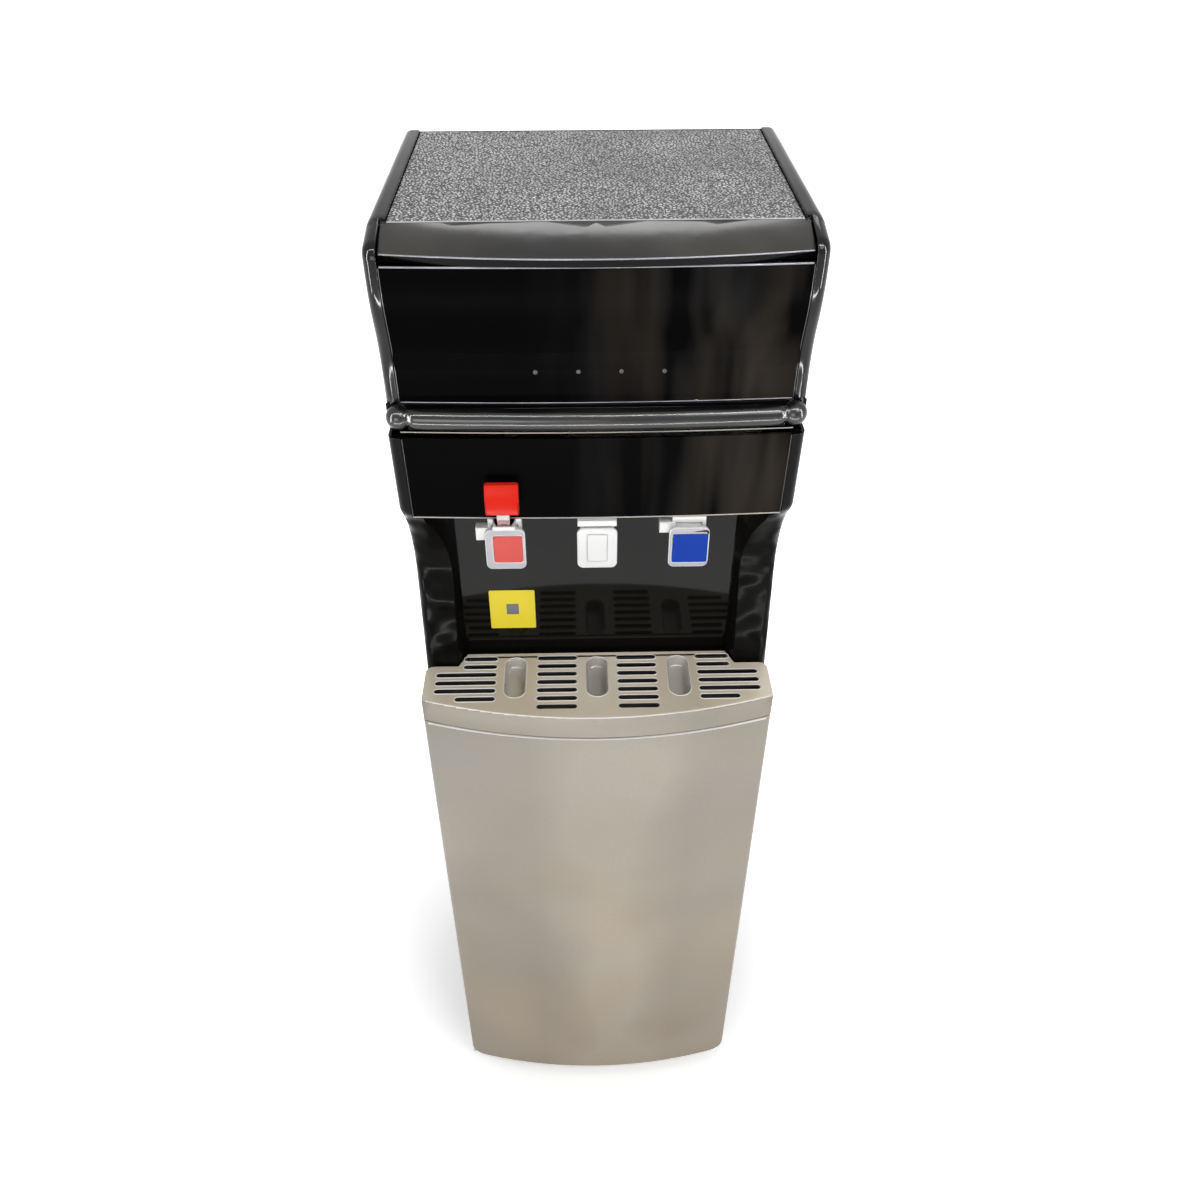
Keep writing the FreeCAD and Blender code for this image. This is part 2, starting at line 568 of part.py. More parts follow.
def outline(sketch, points, arcs=None):
    """A closed outline through the points.

    arcs maps an edge's number to (radius, side), or to "half" for a half circle that
    bulges to the right of the way round.
    """
    arcs = arcs or {}
    count = len(points)
    places = [Vector(size(u).value, size(v).value, 0) for u, v in points]
    ends = []
    for number in range(count):
        start, end = places[number], places[(number + 1) % count]
        if number not in arcs:
            index = sketch.addGeometry(Part.LineSegment(start, end), False)
            ends.append((index, 1, 2))
        elif arcs[number] == "half":
            ends.append(add_arc(sketch, start, end, (end - start).Length / 2, 1))
        else:
            radius, side = arcs[number]
            ends.append(add_arc(sketch, start, end, size(radius).value, side))
    for number in range(count):
        index, _, last = ends[number]
        following, first, _ = ends[(number + 1) % count]
        hold(sketch, "Coincident", index, last, following, first)
    for number, (u, v) in enumerate(points):
        index, first, _ = ends[number]
        fix_point(sketch, index, first, u, v)
        if number not in arcs:
            continue
        if arcs[number] == "half":
            start, end = places[number], places[(number + 1) % count]
            if abs(end.x - start.x) < abs(end.y - start.y):
                hold(sketch, "DistanceX", -1, 1, index, 3, value=size(u))
            else:
                hold(sketch, "DistanceY", -1, 1, index, 3, value=size(v))
        else:
            hold(sketch, "Radius", index, value=size(arcs[number][0]))


def rectangle(sketch, us, vs):
    outline(sketch, [(us[0], vs[0]), (us[1], vs[0]), (us[1], vs[1]), (us[0], vs[1])])


def slot(sketch, us, v, width):
    """A slot with round ends along the sketch's horizontal."""
    end = size(width) / 2
    low, high = us[0] + end, us[1] - end
    points = [(low, v - end), (high, v - end), (high, v + end), (low, v + end)]
    outline(sketch, points, {1: "half", 3: "half"})


def upright_slot(sketch, u, vs, width):
    """A slot with round ends along the sketch's vertical."""
    end = size(width) / 2
    low, high = vs[0] + end, vs[1] - end
    points = [(u - end, low), (u + end, low), (u + end, high), (u - end, high)]
    outline(sketch, points, {0: "half", 2: "half"})


def circle(sketch, u, v, radius):
    radius = size(radius)
    at = Vector(size(u).value, size(v).value, 0)
    index = sketch.addGeometry(Part.Circle(at, Vector(0, 0, 1), radius.value), False)
    fix_point(sketch, index, 3, u, v)
    hold(sketch, "Radius", index, value=radius)


def octagon(sketch, u, v, radius):
    """A regular octagon with flats at the radius on all four sides."""
    near = radius * (square_root(size(2)) - 1)
    outline(sketch, [
        (u - radius, v - near), (u - near, v - radius), (u + near, v - radius), (u + radius, v - near),
        (u + radius, v + near), (u + near, v + radius), (u - near, v + radius), (u - radius, v + near),
    ])


def pad(body, sketch, length, both_ways=False, against=False):
    """Pad a sketch; against pads it against the plane's normal."""
    feature = body.newObject("PartDesign::Pad", "Pad")
    feature.Profile = sketch
    feature.setExpression("Length", size(length).formula)
    feature.Midplane = both_ways
    feature.Reversed = against
    sketch.Visibility = False
    doc.recompute()
    return feature


def pocket(body, sketch, length=None, both_ways=False, against=False):
    """Cut a sketch out of the body, right through it where no length is given."""
    feature = body.newObject("PartDesign::Pocket", "Pocket")
    feature.Profile = sketch
    feature.Midplane = both_ways
    feature.Reversed = against
    if length is None:
        feature.Type = "ThroughAll"
    else:
        feature.setExpression("Length", size(length).formula)
    before = feature.BaseFeature.Shape.Volume
    doc.recompute()
    if feature.Shape.Volume > before - 0.01:
        raise RuntimeError(f"{body.Label}: {feature.Label} cuts nothing")
    return feature


def loft(body, sketches, subtract=False):
    kind = "PartDesign::SubtractiveLoft" if subtract else "PartDesign::AdditiveLoft"
    feature = body.newObject(kind, "Loft")
    feature.Profile = sketches[0]
    feature.Sections = sketches[1:]
    feature.Ruled = False
    doc.recompute()
    return feature


def row_of(body, feature, role, spacing, count, backwards=False):
    """Repeat a feature in a row along one of the body's axes."""
    pattern = body.newObject("PartDesign::LinearPattern", "LinearPattern")
    pattern.Originals = [feature]
    pattern.Direction = (origin_feature(body, role), [""])
    pattern.setExpression("Length", (size(spacing) * (size(count) - 1)).formula)
    pattern.setExpression("Occurrences", size(count).formula)
    pattern.Reversed = backwards
    body.Tip = pattern
    doc.recompute()
    return pattern


def fillet(body, base, radius, wanted):
    """Round the edges of base for which wanted(edge) holds."""
    names = [f"Edge{number}" for number, edge in enumerate(base.Shape.Edges, start=1) if wanted(edge)]
    feature = body.newObject("PartDesign::Fillet", "Fillet")
    feature.Base = (base, names)
    feature.setExpression("Radius", size(radius).formula)
    doc.recompute()
    return feature


def is_upright(edge):
    low, high = edge.BoundBox, edge.BoundBox
    return high.ZLength > 1 and low.XLength < 0.01 and low.YLength < 0.01


def rounded_rectangle(sketch, us, vs, radius):
    (left, right), (low, high) = us, vs
    points = [
        (left + radius, low), (right - radius, low),
        (right, low + radius), (right, high - radius),
        (right - radius, high), (left + radius, high),
        (left, high - radius), (left, low + radius),
    ]
    outline(sketch, points, {edge: (radius, 1) for edge in (1, 3, 5, 7)})


def square_root(value):
    return Size(math.sqrt(value.value), f"sqrt({value.formula})")


def arc_sine(value):
    """The angle in degrees whose sine is value."""
    return Size(math.degrees(math.asin(value.value)), f"asin({value.formula})")


def sine(angle):
    return Size(math.sin(math.radians(angle.value)), f"sin({angle.formula} * 1 deg)")


def cosine(angle):
    return Size(math.cos(math.radians(angle.value)), f"cos({angle.formula} * 1 deg)")


def bow_radius(half_width, bow):
    """Radius of an arc that rises by bow over a chord of twice half_width."""
    return (half_width * half_width + bow * bow) / (bow * 2)


def bowed_outline(sketch, half_width, back_reach, edge_reach, reach):
    """A plan outline with a straight back, square sides and a bowed front."""
    points = [
        (-half_width, -back_reach), (-half_width, -edge_reach),
        (half_width, -edge_reach), (half_width, -back_reach),
    ]
    outline(sketch, points, {1: (bow_radius(half_width, reach - edge_reach), 1)})


def revolve(body, sketch, axis="V_Axis", angle=360, both_ways=False):
    feature = body.newObject("PartDesign::Revolution", "Revolution")
    feature.Profile = sketch
    feature.ReferenceAxis = (sketch, [axis])
    feature.setExpression("Angle", size(angle).formula)
    feature.Midplane = both_ways
    doc.recompute()
    return feature


def bowed_panel(label, half_width, front, back, arcs):
    """A front panel, bowed in plan about an upright axis far behind it.

    front and back are the section's edges at the middle, each listed downwards.
    """
    body = new_body(label)
    sketch = new_sketch(body, "YZ_Plane")
    outline(sketch, front + back[::-1], arcs)
    radius = bow_radius(half_width, S.panel_bow)
    reach, top = front[0]
    axis = reach + radius
    line = Part.LineSegment(Vector(axis.value, 0, 0), Vector(axis.value, top.value, 0))
    index = sketch.addGeometry(line, True)
    fix_point(sketch, index, 1, axis, 0)
    fix_point(sketch, index, 2, axis, top)
    angle = arc_sine(half_width / radius) * 2
    revolve(body, sketch, "Axis0", angle, both_ways=True)
    return node(label, body)


def mitre_points(points, setback):
    """Cut each square corner of a path off at 45 degrees."""
    places = [Vector(size(u).value, size(v).value, 0) for u, v in points]
    path = [points[0]]
    for number in range(1, len(points) - 1):
        before = (places[number] - places[number - 1]).normalize()
        after = (places[number + 1] - places[number]).normalize()
        u, v = points[number]
        path.append((u - setback * round(before.x), v - setback * round(before.y)))
        path.append((u + setback * round(after.x), v + setback * round(after.y)))
    path.append(points[-1])
    return path


def open_path(sketch, path):
    """Draw an open path of straight runs."""
    places = [Vector(size(u).value, size(v).value, 0) for u, v in path]
    indices = []
    for start, end in zip(places, places[1:]):
        indices.append(sketch.addGeometry(Part.LineSegment(start, end), False))
    for index, following in zip(indices, indices[1:]):
        hold(sketch, "Coincident", index, 2, following, 1)
    for index, (u, v) in zip(indices, path):
        fix_point(sketch, index, 1, u, v)
    fix_point(sketch, indices[-1], 2, *path[-1])


def pipe(body, profile, spine):
    feature = body.newObject("PartDesign::AdditivePipe", "Pipe")
    feature.Profile = profile
    feature.Spine = (spine, [f"Edge{number}" for number in range(1, len(spine.Shape.Edges) + 1)])
    feature.Transition = "Right corner"
    doc.recompute()
    return feature


# Base and cabinet

def make_base():
    body = new_body("base_tray")
    half = S.half_width - S.panel_sheet - S.side_gap
    back = S.rear_reach - S.sheet - S.side_gap
    sketch = new_sketch(body, "XY_Plane", S.foot_height)
    rounded_rectangle(sketch, (-half, half), (-S.cabinet_front_reach, back), S.rib_wall)
    pad(body, sketch, S.base_height)
    sketch = new_sketch(body, "XY_Plane", S.foot_height)
    inner = S.foot_across - S.foot_radius - S.rib_wall
    front = -S.cabinet_front_reach + S.rib_wall * 2
    rectangle(sketch, (-inner, inner), (front, -S.rib_wall / 2))
    rectangle(sketch, (-inner, inner), (S.rib_wall / 2, back - S.rib_wall * 2))
    clear = S.foot_along - S.foot_radius - S.rib_wall
    for side in (-1, 1):
        ends = sorted((side * (inner + S.rib_wall), side * (half - S.rib_wall)), key=lambda end: end.value)
        rectangle(sketch, ends, (-clear, clear))
    pocket(body, sketch, S.rib_height, against=True)
    return node("base_tray", body)


def make_feet():
    feet = []
    for side_x in (-1, 1):
        for side_y in (-1, 1):
            place_xy = (side_x * S.foot_across, side_y * S.foot_along, 0)
            feet.append(cone("foot", S.foot_radius - S.foot_taper, S.foot_radius, place_xy, S.foot_height))
    return node("foot_pads", group("foot_pads", feet))


def make_side_panels():
    """Painted side panels with a folded front edge and a step for the alcove."""
    body = new_body("side_panel_right")
    half = S.half_width
    back = -S.housing_rear_reach + S.side_gap
    top = S.cover_joint - S.side_gap
    sketch = new_sketch(body, "YZ_Plane", half - S.panel_sheet)
    outline(sketch, [
        (-S.cabinet_front_reach, S.foot_height), (S.rear_reach, S.foot_height),
        (S.rear_reach, top), (back, top), (back, S.deck_level), (-S.cabinet_front_reach, S.deck_level),
    ])
    pad(body, sketch, S.panel_sheet)
    low = S.foot_height + S.base_height + S.panel_sheet
    sketch = new_sketch(body, "XY_Plane", low)
    inner = half - S.jamb_width
    front = -S.cabinet_front_reach
    rectangle(sketch, (inner, half - S.panel_sheet), (front, front + S.sheet))
    pad(body, sketch, S.deck_level - S.deck_flange - S.panel_sheet * 2 - low)
    node("side_panel_left", mirrored("side_panel_left", body))
    return node("side_panel_right", body)


def stub_top():
    """Top of the compressor's outlet stub."""
    return S.deck_level + S.mount_height + S.mount_plate + S.compressor_height + S.stub_height


def make_rear_panel():
    body = new_body("rear_panel")
    half = S.half_width - S.panel_sheet - S.seat_gap
    inner_face = S.rear_reach - S.sheet
    sketch = new_sketch(body, "XZ_Plane", -inner_face)
    rectangle(sketch, (-half, half), (S.foot_height + S.rear_lift, S.cover_joint - S.side_gap))
    pad(body, sketch, S.sheet, against=True)
    sketch = new_sketch(body, "XZ_Plane", -inner_face)
    slot(sketch, (-S.louvre_length / 2, S.louvre_length / 2), S.louvre_first, S.louvre_width)
    louvre = pocket(body, sketch, S.sheet * 2, both_ways=True)
    row_of(body, louvre, "Z_Axis", S.louvre_pitch, S.louvre_count)
    sketch = new_sketch(body, "XZ_Plane", -inner_face)
    across, height = S.frame_width / 2 - S.frame_lip, S.frame_height / 2 - S.frame_lip
    rectangle(sketch, (-across, across), (S.switch_level - height, S.switch_level + height))
    circle(sketch, S.compressor_across, stub_top() + S.line_rise, S.line_radius + S.side_gap)
    circle(sketch, S.inlet_across, S.inlet_level, S.gland_radius)
    pocket(body, sketch, S.sheet * 4, both_ways=True)
    return node("rear_panel", body)


def make_deck():
    """The folded steel deck over the bottle bay, open for the suction riser."""
    body = new_body("mid_deck")
    half = S.half_width - S.panel_sheet
    back = S.rear_reach - S.sheet - S.side_gap
    front = -S.cabinet_front_reach
    sketch = new_sketch(body, "XY_Plane", S.deck_level)
    rectangle(sketch, (-half, half), (front, back))
    pad(body, sketch, S.deck_flange, against=True)
    sketch = new_sketch(body, "XY_Plane", S.deck_level - S.sheet)
    rectangle(sketch, (-half + S.sheet, half - S.sheet), (front + S.sheet, back - S.sheet))
    pocket(body, sketch, S.deck_flange)
    sketch = new_sketch(body, "XY_Plane", S.deck_level)
    circle(sketch, -S.probe_across, S.probe_back, S.riser_radius + S.side_gap)
    pocket(body, sketch, S.sheet * 2)
    return node("mid_deck", body)


def make_bottle_guide():
    """Floor pad with a rim behind the bottle, open to the front."""
    reach = S.bottle_centre
    floor_half = S.bottle_radius - S.shell_wall
    low = S.foot_height + S.base_height
    back = S.rear_reach - S.sheet - S.side_gap - S.seat_gap
    front = -S.cabinet_front_reach + S.shell_wall
    floor = box("guide_plate", (-floor_half, floor_half), (front, back), (low, low + S.guide_floor))
    outer = rod("guide_outer_wall", S.guide_outer, (0, -reach, low), S.guide_height)
    start = (0, -reach, low - S.overrun)
    inner = rod("guide_inner_wall", S.bottle_radius, start, S.guide_height + S.overrun * 2)
    front_half = box(
        "guide_mouth",
        (-S.body_width, S.body_width), (-S.body_width, 0),
        (low - S.overrun, low + S.guide_height + S.overrun))
    rim = cut("guide_rim", outer, inner, front_half)
    return node("bottle_guide", fuse("bottle_guide", floor, rim))


# Door

def make_door_skin():
    body = new_body("door_skin")
    half = S.half_width
    sketch = new_sketch(body, "XY_Plane", S.door_bottom)
    bowed_outline(sketch, half, S.door_back_reach, S.door_edge_reach, S.door_reach)
    block = pad(body, sketch, S.door_top - S.door_bottom)
    front = -S.door_edge_reach.value + 0.1
    block = fillet(body, block, S.door_corner, lambda edge: is_upright(edge) and edge.CenterOfMass.y < front)
    inside = S.door_bottom + S.door_wall
    inner_half = half - S.door_wall
    sketch = new_sketch(body, "XY_Plane", inside)
    bowed_outline(
        sketch, inner_half, S.door_back_reach - S.overrun,
        S.door_edge_reach - S.door_wall, S.door_reach - S.door_wall)
    pocket(body, sketch, S.door_top - S.door_bottom - S.door_wall * 2, against=True)
    for level, against in ((inside, False), (S.door_top - S.door_wall, True)):
        sketch = new_sketch(body, "XY_Plane", level)
        circle(sketch, -S.hinge_across, -S.hinge_reach, S.hinge_boss_radius)
        pad(body, sketch, S.hinge_pin_length, against=against)
    for level, against in ((S.door_bottom, True), (S.door_top, False)):
        sketch = new_sketch(body, "XY_Plane", level)
        circle(sketch, -S.hinge_across, -S.hinge_reach, S.hinge_pin_radius + S.hinge_clearance)
        pocket(body, sketch, S.hinge_pin_length, against=against)
    sketch = new_sketch(body, "XZ_Plane", S.door_back_reach)
    middle = (S.door_top + S.door_bottom) / 2
    rectangle(sketch, (half - S.grip_width, half + S.overrun), (middle, middle + S.grip_height))
    pocket(body, sketch, S.grip_depth, against=True)
    return node("door_skin", body)


def make_door_liner():
    """The door's inner moulding, dished so that the bottle reaches into the door."""
    body = new_body("door_liner")
    back = S.door_back_reach
    deep = S.dish_reach
    wall = S.door_wall
    half = S.half_width - wall - S.seat_gap
    slope = S.dish_slope
    inner = S.dish_half_width
    sketch = new_sketch(body, "XY_Plane", S.door_bottom + wall + S.seat_gap)
    outline(sketch, [
        (-half, -back), (-half, -back - wall),
        (-inner - slope - wall, -back - wall), (-inner - wall, -deep - wall),
        (inner + wall, -deep - wall), (inner + slope + wall, -back - wall),
        (half, -back - wall), (half, -back),
        (inner + slope, -back), (inner, -deep), (-inner, -deep), (-inner - slope, -back),
    ])
    pad(body, sketch, S.door_top - S.door_bottom - (wall + S.seat_gap) * 2)
    sketch = new_sketch(body, "XZ_Plane", back)
    middle = (S.door_top + S.door_bottom) / 2
    rectangle(sketch, (S.half_width - S.grip_width, S.half_width), (middle, middle + S.grip_height))
    pocket(body, sketch, S.grip_depth, against=True)
    return node("door_liner", body)


def make_door_hinges():
    """Steel hinge plates above and below the door, each with its pin."""
    axis = (-S.hinge_across, -S.hinge_reach)
    xs = (-S.half_width, -S.half_width + S.hinge_width)
    ys = (-S.hinge_reach - S.hinge_boss_radius, -S.foot_front_reach - S.hinge_setback)
    low = (S.foot_height - S.hinge_plate, S.foot_height)
    plate = box("lower_hinge_plate", xs, ys, low)
    pin = rod("lower_hinge_pin", S.hinge_pin_radius, (*axis, low[0]), S.hinge_plate + S.hinge_pin_length)
    node("door_hinge_lower", fuse("door_hinge_lower", plate, pin))
    high = (S.deck_level, S.deck_level + S.sheet)
    plate = box("upper_hinge_plate", xs, ys, high)
    pin_foot = S.door_top - S.hinge_pin_length + S.overrun
    pin = rod("upper_hinge_pin", S.hinge_pin_radius, (*axis, pin_foot), high[1] - pin_foot)
    node("door_hinge_upper", fuse("door_hinge_upper", plate, pin))


def make_catch():
    """Magnet under the deck's front edge and the steel plate it holds on the door."""
    across = (S.catch_across, S.catch_across + S.catch_width)
    top = S.deck_level - S.deck_flange
    heights = (top - S.catch_height, top)
    face = -S.door_back_reach + S.catch_plate + S.seat_gap
    magnet = box("catch_body", across, (face, face + S.catch_depth), heights)
    arm_ys = (-S.cabinet_front_reach + S.sheet, face + S.catch_depth)
    arm = box("catch_arm", across, arm_ys, (top - S.overrun, S.deck_level - S.sheet))
    node("door_catch", fuse("door_catch", magnet, arm))
    plate = box("catch_plate", across, (-S.door_back_reach, -S.door_back_reach + S.catch_plate), heights)
    node("catch_plate", plate)


# Drip tray

def tray_outline(sketch, inset, front_inset):
    """Plan of the tray between the cheeks, drawn in by inset all round."""
    half = S.cover_half_width - inset
    edge = S.tray_edge_reach - front_inset
    reach = S.tray_reach - front_inset
    wing = S.foot_front_reach + S.cover_gap + inset
    inner = S.cheek_inner - S.cover_gap - inset
    back = S.cover_rear_reach + inset
    back_half = S.recess_half_width - S.cover_gap - inset
    corner = S.cover_corner
    points = [
        (-half, -edge), (half, -edge),
        (half, -wing - corner), (half - corner, -wing),
        (inner, -wing), (back_half, -back),
        (-back_half, -back), (-inner, -wing),
        (-half + corner, -wing), (-half, -wing - corner),
    ]
    arcs = {0: (bow_radius(half, reach - edge), 1), 2: (corner, 1), 8: (corner, 1)}
    outline(sketch, points, arcs)


def make_cover():
    """Slotted cover of the drip tray with its apron in front."""
    body = new_body("drip_cover")
    sketch = new_sketch(body, "XY_Plane", S.cover_bottom)
    tray_outline(sketch, size(0), size(0))
    block = pad(body, sketch, S.cover_top - S.cover_bottom)
    front = -S.tray_edge_reach.value + 1
    top = S.cover_top.value

    def on_front_rim(edge):
        box_of = edge.BoundBox
        return box_of.ZMin > top - 0.1 and box_of.YMin < front and box_of.XLength > S.half_width.value

    fillet(body, block, S.cover_round, on_front_rim)
    sketch = new_sketch(body, "XY_Plane", S.cover_bottom)
    tray_outline(sketch, S.cover_wall, S.cover_wall)
    pocket(body, sketch, S.cover_top - S.cover_bottom - S.cover_wall, against=True)
    plane = S.cover_top
    through = S.cover_wall * 2

    def slots(inner, outer, row, count):
        slots_sketch = new_sketch(body, "XY_Plane", plane)
        level = -(S.slot_first_reach + S.slot_pitch * row)
        slot(slots_sketch, (inner, outer), level, S.slot_width)
        slot(slots_sketch, (-outer, -inner), level, S.slot_width)
        cut_row = pocket(body, slots_sketch, through)
        if count > 1:
            row_of(body, cut_row, "Y_Axis", S.slot_pitch, count, backwards=True)

    slots(S.slot_inner, S.slot_outer, 0, 7)
    slots(S.side_slot_inner, S.side_slot_short, 0, 2)
    slots(S.side_slot_inner, S.side_slot_outer, 2, 3)
    slots(S.side_slot_inner, S.side_slot_front, 5, 1)
    sketch = new_sketch(body, "XY_Plane", plane)
    span = (-S.oval_reach - S.oval_length / 2, -S.oval_reach + S.oval_length / 2)
    for across in (-S.tap_pitch, size(0), S.tap_pitch):
        upright_slot(sketch, across, span, S.oval_width)
    pocket(body, sketch, through)
    return node("drip_cover", body)


def make_basin():
    """The drip basin under the cover, standing on the deck."""
    body = new_body("drip_basin")
    inset = S.cover_wall + S.basin_gap
    low = S.deck_level + S.sheet + S.seat_gap
    rim = S.cover_top - S.cover_wall - S.seat_gap
    sketch = new_sketch(body, "XY_Plane", low)
    tray_outline(sketch, inset, inset)
    pad(body, sketch, rim - low)
    sketch = new_sketch(body, "XY_Plane", low + S.basin_floor)
    tray_outline(sketch, inset + S.basin_floor, inset + S.basin_floor)
    pocket(body, sketch, rim - low - S.basin_floor, against=True)
    return node("drip_basin", body)


# Alcove housing and head

def cheek_profile(sketch):
    """Side outline of the alcove housing: leaning rail, roll-under, hollow waist, foot.

    The rail turns under the head through the roll angle, runs straight for a short way,
    turns back through one large hollow and ends in a straight foot that leans forward.
    """
    top = S.housing_top
    rear = -S.housing_rear_reach
    run, drop = S.rail_top_reach - S.rail_foot_reach, top - S.rail_foot
    length = square_root(run * run + drop * drop)
    sin_roll, cos_roll = sine(S.roll_angle), cosine(S.roll_angle)
    sin_foot, cos_foot = sine(S.foot_lean), cosine(S.foot_lean)
    roll_y = -S.rail_foot_reach + S.roll_radius * (drop / length - sin_roll)
    roll_z = S.rail_foot + S.roll_radius * (run / length - cos_roll)
    under_y = roll_y + S.roll_run * cos_roll
    under_z = roll_z - S.roll_run * sin_roll
    across = cos_foot - sin_roll
    down = -(cos_roll + sin_foot)
    slope = cos_foot / sin_foot
    hollow = (S.deck_level - under_z + slope * (under_y + S.foot_front_reach)) / (down - across * slope)
    waist_y = under_y + hollow * across
    waist_z = under_z + hollow * down
    points = [
        (rear, S.deck_level), (rear, top), (-S.rail_top_reach, top),
        (-S.rail_foot_reach, S.rail_foot), (roll_y, roll_z), (under_y, under_z),
        (waist_y, waist_z), (-S.foot_front_reach, S.deck_level),
    ]
    outline(sketch, points, {3: (S.roll_radius, 1), 5: (hollow, -1)})


def recess_section(body, level, mouth, middle):
    """Plan section of the alcove's recess: a wide mouth that narrows to the rear wall."""
    sketch = new_sketch(body, "XY_Plane", level)
    mouth_reach = S.foot_front_reach + S.cover_gap
    front = S.cheek_clear_reach
    step = S.recess_reach + S.recess_step
    outline(sketch, [
        (-mouth, -front), (mouth, -front), (mouth, -mouth_reach),
        (middle, -step), (S.recess_half_width, -S.recess_reach),
        (-S.recess_half_width, -S.recess_reach), (-middle, -step), (-mouth, -mouth_reach),
    ])
    return sketch


def make_alcove_housing():
    """One moulding: lower head rails, alcove ceiling, cheeks and rear wall."""
    body = new_body("alcove_housing")
    half = S.half_width
    sketch = new_sketch(body, "YZ_Plane")
    cheek_profile(sketch)
    block = pad(body, sketch, S.body_width, both_ways=True)
    edge_x = half.value
    front = -S.housing_rear_reach.value - 1

    def on_front_side(edge):
        middle = edge.CenterOfMass
        if not S.deck_level.value + 1 < middle.z < S.housing_top.value - 0.1:
            return False
        return abs(abs(middle.x) - edge_x) < 0.01 and middle.y < front and edge.BoundBox.XLength < 0.01

    fillet(body, block, S.rail_round, on_front_side)
    low = recess_section(body, S.recess_sill, S.cheek_inner, S.recess_half_width)
    mouth = S.recess_top_half_width
    high = recess_section(body, S.ceiling_level, mouth, mouth - S.recess_step)
    loft(body, [low, high], subtract=True)
    sketch = new_sketch(body, "XY_Plane", S.deck_level)
    well_back = S.cover_rear_reach - S.cover_gap
    outline(sketch, [
        (-S.cheek_inner, -S.cheek_clear_reach), (S.cheek_inner, -S.cheek_clear_reach),
        (S.cheek_inner, -S.foot_front_reach), (S.recess_half_width, -well_back),
        (-S.recess_half_width, -well_back), (-S.cheek_inner, -S.foot_front_reach),
    ])
    pocket(body, sketch, S.recess_sill - S.deck_level, against=True)
    wall = S.shell_wall
    sketch = new_sketch(body, "XY_Plane", S.ceiling_level + wall)
    rectangle(
        sketch, (-half + wall, half - wall),
        (-S.rail_foot_reach + wall, -S.housing_rear_reach + S.overrun))
    pocket(body, sketch, S.housing_top, against=True)
    sketch = new_sketch(body, "XY_Plane", S.ceiling_level + wall)
    window = half - S.rail_width
    rectangle(sketch, (-window, window), (-S.cheek_clear_reach, -S.rail_foot_reach + wall + S.overrun))
    pocket(body, sketch, S.housing_top, against=True)
    sketch = new_sketch(body, "XY_Plane", S.ceiling_level - S.ceiling_depth)
    rectangle(sketch, (-window, window), (-S.cheek_clear_reach, -S.lower_foot_reach + wall))
    pocket(body, sketch, S.housing_top, against=True)
    sketch = new_sketch(body, "XY_Plane", S.deck_level + wall)
    core = S.waist_reach - wall * 2
    for side in (-1, 1):
        ends = sorted((side * (S.recess_half_width + wall), side * (half - wall)), key=lambda end: end.value)
        rectangle(sketch, ends, (-core, -S.housing_rear_reach + S.overrun))
    pocket(body, sketch, S.recess_sill - S.deck_level + S.cheek_core_height, against=True)
    sketch = new_sketch(body, "XY_Plane", S.ceiling_level)
    for across in (-S.tap_pitch, size(0), S.tap_pitch):
        circle(sketch, across, -S.tap_reach, S.shank_radius + S.side_gap)
    pocket(body, sketch, wall * 2, both_ways=True)
    return node("alcove_housing", body)


def front_curve(nose, foot):
    """The head's leaning front: an S-curve between two upright stretches, and its radius."""
    half_fall = (S.curve_top - S.curve_foot) / 2
    half_step = (nose - foot) / 2
    points = [(-nose, S.curve_top), (-nose + half_step, S.curve_top - half_fall), (-foot, S.curve_foot)]
    return points, bow_radius(half_fall, half_step)


def rail_profile(sketch, inset):
    """Side outline of the head cover, drawn in by inset."""
    low = S.cover_joint
    top = S.body_height - inset
    rear = S.rear_reach - inset
    nose = S.rail_nose_reach - inset
    foot = S.bead_seat_reach - inset
    rounding = S.top_round - inset
    curve, radius = front_curve(nose, foot)
    sin_lean, cos_lean = sine(S.crown_lean), cosine(S.crown_lean)
    reach = nose - rounding + rounding * sin_lean
    brow_y = reach - S.insert_front_reach
    brow_z = top - brow_y * sin_lean / cos_lean
    crown = S.crown_run
    points = [
        (-foot, low), (rear, low), (rear, top - rounding), (rear - rounding, top),
        (-S.insert_front_reach + crown, top),
        (-S.insert_front_reach - crown * cos_lean, top - crown * sin_lean),
        (-reach, brow_z), (-nose, brow_z - rounding * cos_lean),
    ]
    crown_radius = crown * (cos_lean + 1) / sin_lean
    arcs = {2: (rounding, 1), 4: (crown_radius, 1), 6: (rounding, 1), 8: (radius, 1), 9: (radius, -1)}
    outline(sketch, points + curve, arcs)


def brow_section(body, across, reach):
    """Section of the sloping bezel and its brow, across the head at one place."""
    sketch = new_sketch(body, "YZ_Plane", across)
    back = -S.insert_front_reach
    under = -(S.rail_nose_reach - S.panel_sink - S.panel_thickness * 2)
    tuck = -reach + S.brow_tuck
    outline(sketch, [
        (back, S.insert_level), (back, S.insert_level - S.shell_wall),
        (under, S.brow_bottom + S.shell_wall), (under, S.brow_bottom),
        (tuck, S.brow_bottom), (-reach, S.brow_level),
    ], {5: (S.bezel_radius, -1)})
    return sketch


def bead_section(body, across, reach):
    """Section of the rounded bead below the control panel."""
    sketch = new_sketch(body, "YZ_Plane", across)
    back = -(S.bead_seat_reach - S.shell_wall)
    low = S.cover_joint
    outline(sketch, [
        (back, S.bead_top), (back, low), (-reach + S.bead_foot_run, low),
        (-reach, low + S.bead_foot_rise), (-reach + S.bead_shoulder, S.bead_top - S.bead_lip),
        (-reach + S.bead_shoulder + S.bead_foot_run, S.bead_top),
    ], {3: (S.bead_radius, -1)})
    return sketch


